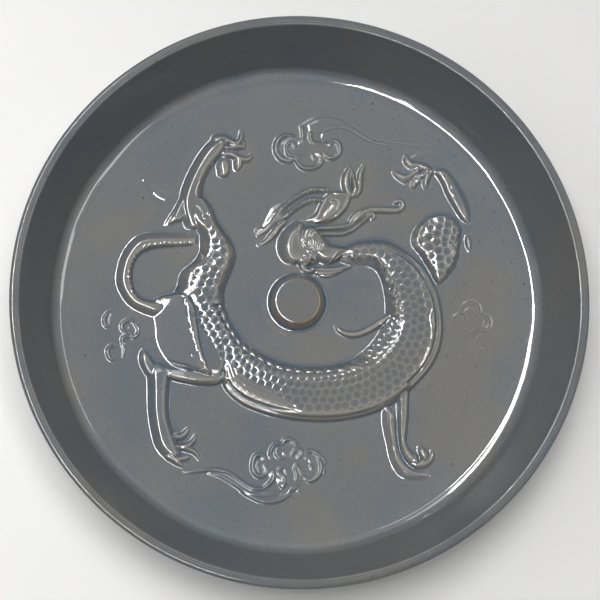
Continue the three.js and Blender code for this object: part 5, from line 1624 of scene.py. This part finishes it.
cloudLeftScrolls = {
    "height": 1.1,
    "flat": 0.15,
    "melt": 0.1,
    # Lighter lines along the strands' sides, partly a painted highlight, with a painted shade along their
    # middles
    "sheenEdges": (0.26, 0.08, 0.4),
    "strands": [
        [[-66.03, -1.9, 0.6, 0.7], [-67.83, -2.9, 0.8, 1], [-68.63, -5.1, 0.9, 1], [-67.83, -7.1, 0.8, 0.9],
         [-66.43, -6.5, 0.5, 0.6]],
        [[-66.03, -2.5, 0.4, 0.5], [-66.63, -4.3, 0.5, 0.7], [-66.83, -5.9, 0.4, 0.5]],
        [[-57.63, -5.5, 0.6, 0.7], [-60.03, -4.9, 0.8, 1], [-62.03, -6.1, 0.8, 1], [-62.23, -8.1, 0.8, 1],
         [-60.63, -9.1, 0.6, 0.8], [-59.63, -7.9, 0.4, 0.6]],
        [[-57.63, -6.5, 0.6, 0.9], [-56.43, -7.9, 0.8, 1], [-56.83, -10.1, 0.8, 1],
         [-58.63, -10.9, 0.7, 0.9], [-59.23, -9.5, 0.5, 0.7]],
        [[-59.83, -10.7, 0.6, 0.8], [-61.63, -10.9, 0.8, 1], [-62.23, -12.5, 0.8, 1],
         [-60.83, -13.5, 0.6, 0.8]],
        [[-65.23, -13.9, 0.6, 0.7], [-66.83, -14.7, 0.8, 1], [-67.23, -16.7, 0.9, 1],
         [-66.03, -18.9, 0.8, 1], [-64.83, -18.3, 0.5, 0.7]],
        [[-62.23, -13.9, 0.5, 0.6], [-61.23, -15.5, 0.7, 0.9], [-61.63, -17.7, 0.5, 0.7]],
    ],
}
clay("leftCloud", "cloud_left", cloudLeftScrolls)

cloudRightScrolls = {
    "height": 0.27,
    "flat": 0.15,
    "melt": 0.1,
    # Lighter lines along the strands' sides, partly a painted highlight, with a painted shade along their
    # middles
    "sheenEdges": (0.3, 0.1, 0.7),
    "strands": [
        [[55.58, -4.68, 0.7, 0.8], [56.38, -2.68, 0.9, 1], [58.38, -1.68, 0.9, 1], [59.98, -2.88, 0.8, 1],
         [59.38, -4.48, 0.6, 0.8]],
        [[58.58, -0.88, 0.6, 0.7], [59.58, 1.52, 0.9, 0.9], [61.98, 2.72, 0.9, 1], [64.58, 1.52, 0.9, 1],
         [65.18, -0.88, 0.8, 0.9], [63.78, -2.08, 0.6, 0.7]],
        [[65.98, -1.88, 0.7, 0.8], [68.18, -2.68, 0.9, 1], [68.98, -5.08, 0.9, 1], [67.58, -7.08, 0.8, 1],
         [65.58, -6.68, 0.6, 0.8]],
        [[56.58, -6.28, 0.6, 0.8], [58.58, -8.08, 0.8, 0.9], [60.98, -7.68, 0.8, 0.9],
         [62.58, -6.08, 0.7, 0.8]],
        [[66.38, -9.08, 0.6, 0.7], [64.58, -10.68, 0.9, 0.9], [63.98, -13.08, 0.9, 0.9],
         [65.78, -14.88, 0.8, 0.9], [67.58, -13.88, 0.5, 0.7]],
        [[60.38, -10.48, 0.5, 0.6], [61.58, -13.08, 0.7, 0.8], [60.98, -15.48, 0.5, 0.6]],
    ],
    "bands": [
        (0.3, 1, 1, [
            [57, -3, 57.6, -6.6, 0.5], [61.6, 1, 62, -9.4, 1], [66.6, -3, 66.2, -8, 0.6],
        ]),
    ],
}
clay("rightCloud", "cloud_right", cloudRightScrolls)
print("clouds laid")


# The glaze over the clay: edges are rounded, hollows fill and ridges run thin

forms = np.maximum.reduce([field for _, field in drawn.values()])
fineLines = soften(scores, canvas["scoreSoftness"]) * eased(forms, *canvas["scoreFoot"])
surface = np.maximum(soften(forms, canvas["formSoftness"]) + fineLines, 0)
# A painted shadow: darker and bluer beyond the +y side of each form, lighter on its -y side
shadowDrift = np.roll(soften(forms, canvas["shadowReach"]), int(canvas["shadowDrift"] / step), 0)
# Deepest at the feet of forms and in hollows, where the darker pooled colour is also a painted shade
poolAndShadeDepth = soften(surface, canvas["poolReach"]) - surface
poolAndShadeDepth = poolAndShadeDepth + canvas["shadowShare"] * (shadowDrift - forms) + scalePool
poolAndShadeDepth = np.tanh(poolAndShadeDepth / canvas["poolMost"]) * canvas["poolMost"]
slopeUp, slopeAcross = np.gradient(surface, step)
covered = (surface > canvas["skin"]) | (np.abs(poolAndShadeDepth) > canvas["halo"])

names = list(drawn)
claims = np.stack([soften(drawn[name][1], canvas["claimReach"]) for name in names])
owner = np.where(covered & (claims.max(0) > 1e-4), claims.argmax(0), -1)
# A square of the lattice belongs to the piece that owns its corner
square = owner[:-1, :-1]
lone = np.ones_like(square, bool)
for dy, dx in ((0, 1), (1, 0), (0, -1), (-1, 0)):
    lone &= np.roll(square, (dy, dx), (0, 1)) != square
square = np.where(lone, -1, square)
print("glaze laid over", len(names), "forms")


def layRelief(name, node, own):
    # Makes the mesh of one form over the squares that are its own, with a skirt and an underside
    rows, columns = np.flatnonzero(own.any(1)), np.flatnonzero(own.any(0))
    low, high, left, right = rows[0], rows[-1] + 1, columns[0], columns[-1] + 1
    bm = bmesh.new()
    bmesh.ops.create_grid(bm, x_segments=right - left, y_segments=high - low, size=1)
    part = np.s_[low:high + 1, left:right + 1]
    x, y = np.meshgrid(axis[left:right + 1], axis[low:high + 1])
    z = floorZ + canvas["skin"] + surface[part]
    for vert, place in zip(bm.verts, np.stack([x, y, z], -1).reshape(-1, 3)):
        vert.co = place
    spare = [face for face, keep in zip(bm.faces, own[low:high, left:right].ravel()) if not keep]
    bmesh.ops.delete(bm, geom=spare, context="FACES")
    rim = [edge for edge in bm.edges if edge.is_boundary]
    for edge in rim:
        edge.smooth = False
    skirt = bmesh.ops.extrude_edge_only(bm, edges=rim)["geom"]
    for vert in skirt:
        if isinstance(vert, bmesh.types.BMVert):
            vert.co.z = floorZ - canvas["sunk"]
    foot = [edge for edge in skirt if isinstance(edge, bmesh.types.BMEdge) and edge.is_boundary]
    bmesh.ops.triangle_fill(bm, edges=foot, use_beauty=False, normal=(0, 0, -1))
    piece = settle(name, bm, glazeSkin, node)
    places = placesOf(piece)
    column, row = (np.rint((places[:, k] - axis[0]) / step).astype(int) for k in (0, 1))
    paint(piece, "poolAndShade", poolAndShadeDepth[row, column])
    normals = np.stack([-slopeAcross[row, column], -slopeUp[row, column], np.ones(len(row))], 1)
    normals /= np.linalg.norm(normals, axis=1)[:, None]
    piece.data.normals_split_custom_set_from_vertices(normals)


for k, name in enumerate(names):
    layRelief(name, drawn[name][0], square == k)
print("relief meshes made")


# Table, light and camera

room = {
    "tableColour": (0.72, 0.715, 0.70),
    "tableRoughness": 0.55,
    "tableSize": 3.0,
    "background": (0.62, 0.62, 0.615),
    "ambient": 0.04,  # share of the background that lights the washer
    "wallGlow": 1.0,  # how much brighter the room is half way up
    "keyPower": 19.0,
    "keySize": 0.8,
    "keyHeight": 1.4,
    "keyLean": (-3.0, 8.0),  # degrees from overhead, towards +x and +y
    "windows": (145, 187, 231),  # degrees round the washer from +x
    "windowReach": 1.0,
    "windowHeight": 1.25,
    "window": (0.29, 1.02, 60.0),  # width, length and radiance
    "strips": {
        "sideStrip": ((0.95, 0.0, 1.0), 0.2, 1.6, 7.0),  # place, width, length and radiance
        "cornerStrip": ((-0.42, 0.91, 1.25), 0.5, 0.5, 5.0),
        "frontSpot": ((-0.16, -0.70, 1.0), 0.14, 0.14, 14.0),
    },
}

world = bpy.data.worlds.new("room")
bpy.context.scene.world = world
sky = ShadeTree(world)
seen = [sky.node("ShaderNodeLightPath", None, None, name)
        for name in ("Is Camera Ray", "Is Glossy Ray", "Is Transmission Ray")]
direct = (seen[0] + seen[1] + seen[2]).between(0, 1)
upward = sky.node("ShaderNodeSeparateXYZ", None, {0: sky.node("ShaderNodeTexCoord", None, None, 0)}, 2)
walls = upward.between(0.30, 0.48) * (1 - upward.between(0.74, 0.90))
strength = room["ambient"] + direct * (1 - room["ambient"] + walls * room["wallGlow"])
light = sky.node("ShaderNodeBackground", None, {"Color": room["background"], "Strength": strength})
sky.node("ShaderNodeOutputWorld", None, {"Surface": light})

tableTree = ShadeTree(bpy.data.materials.new("paleTable"))
tableShader = tableTree.node("ShaderNodeBsdfPrincipled", None,
                             {"Base Color": room["tableColour"], "Roughness": room["tableRoughness"]})
tableTree.node("ShaderNodeOutputMaterial", None, {"Surface": tableShader})
bm = bmesh.new()
bmesh.ops.create_grid(bm, x_segments=1, y_segments=1, size=room["tableSize"])
tableMesh = bpy.data.meshes.new("table")
bm.to_mesh(tableMesh)
bm.free()
tableMesh.materials.append(tableTree.owner)
table = bpy.data.objects.new("table", tableMesh)
bpy.context.scene.collection.objects.link(table)


def areaLamp(name, place, aim, width, length, radiance):
    lamp = bpy.data.lights.new(name, "AREA")
    lamp.shape = "RECTANGLE"
    lamp.size, lamp.size_y = length, width
    lamp.energy = radiance * math.pi * width * length
    holder = bpy.data.objects.new(name, lamp)
    facing = (Vector(place) - Vector(aim)).to_track_quat("Z", "Y")
    holder.matrix_world = Matrix.Translation(place) @ facing.to_matrix().to_4x4()
    bpy.context.scene.collection.objects.link(holder)
    return holder


lean = [math.tan(math.radians(v)) * room["keyHeight"] for v in room["keyLean"]]
side = room["keySize"]
key = areaLamp("key", (lean[0], lean[1], room["keyHeight"]), (0, 0, 0), side, side,
               room["keyPower"] / (math.pi * side * side))
key.visible_glossy = False
middle = Vector((0, 0, 0.01))
strips = []
for k, azimuth in enumerate(room["windows"]):
    turn, reach = math.radians(azimuth), room["windowReach"]
    place = (math.cos(turn) * reach, math.sin(turn) * reach, room["windowHeight"])
    strips.append(areaLamp("window%d" % k, place, middle, *room["window"]))
for name, (place, *size) in room["strips"].items():
    strips.append(areaLamp(name, place, middle, *size))
for strip in strips:
    strip.visible_diffuse = False

view = {
    "target": (-0.44, -1.52, 35.0),
    "leanX": 2.6,  # degrees from overhead, towards -x
    "leanY": 9.2,  # and towards -y
    "distance": 700.0,
    "lens": 122.36,
}
back = Vector((-math.sin(math.radians(view["leanX"])), -math.sin(math.radians(view["leanY"])), 0))
back.z = math.sqrt(1 - back.length_squared)
right = Vector((0, 1, 0)).cross(back).normalized()
camera = bpy.data.cameras.new("photoView")
camera.lens = view["lens"]
camera.sensor_fit = "HORIZONTAL"
camera.clip_start = 0.01
holder = bpy.data.objects.new("photoView", camera)
turn = Matrix([right, back.cross(right), back]).transposed().to_4x4()
holder.matrix_world = Matrix.Translation((Vector(view["target"]) + back * view["distance"]) * mm) @ turn
bpy.context.scene.collection.objects.link(holder)
bpy.context.scene.camera = holder
bpy.context.scene.view_settings.view_transform = "Standard"
print("room set")
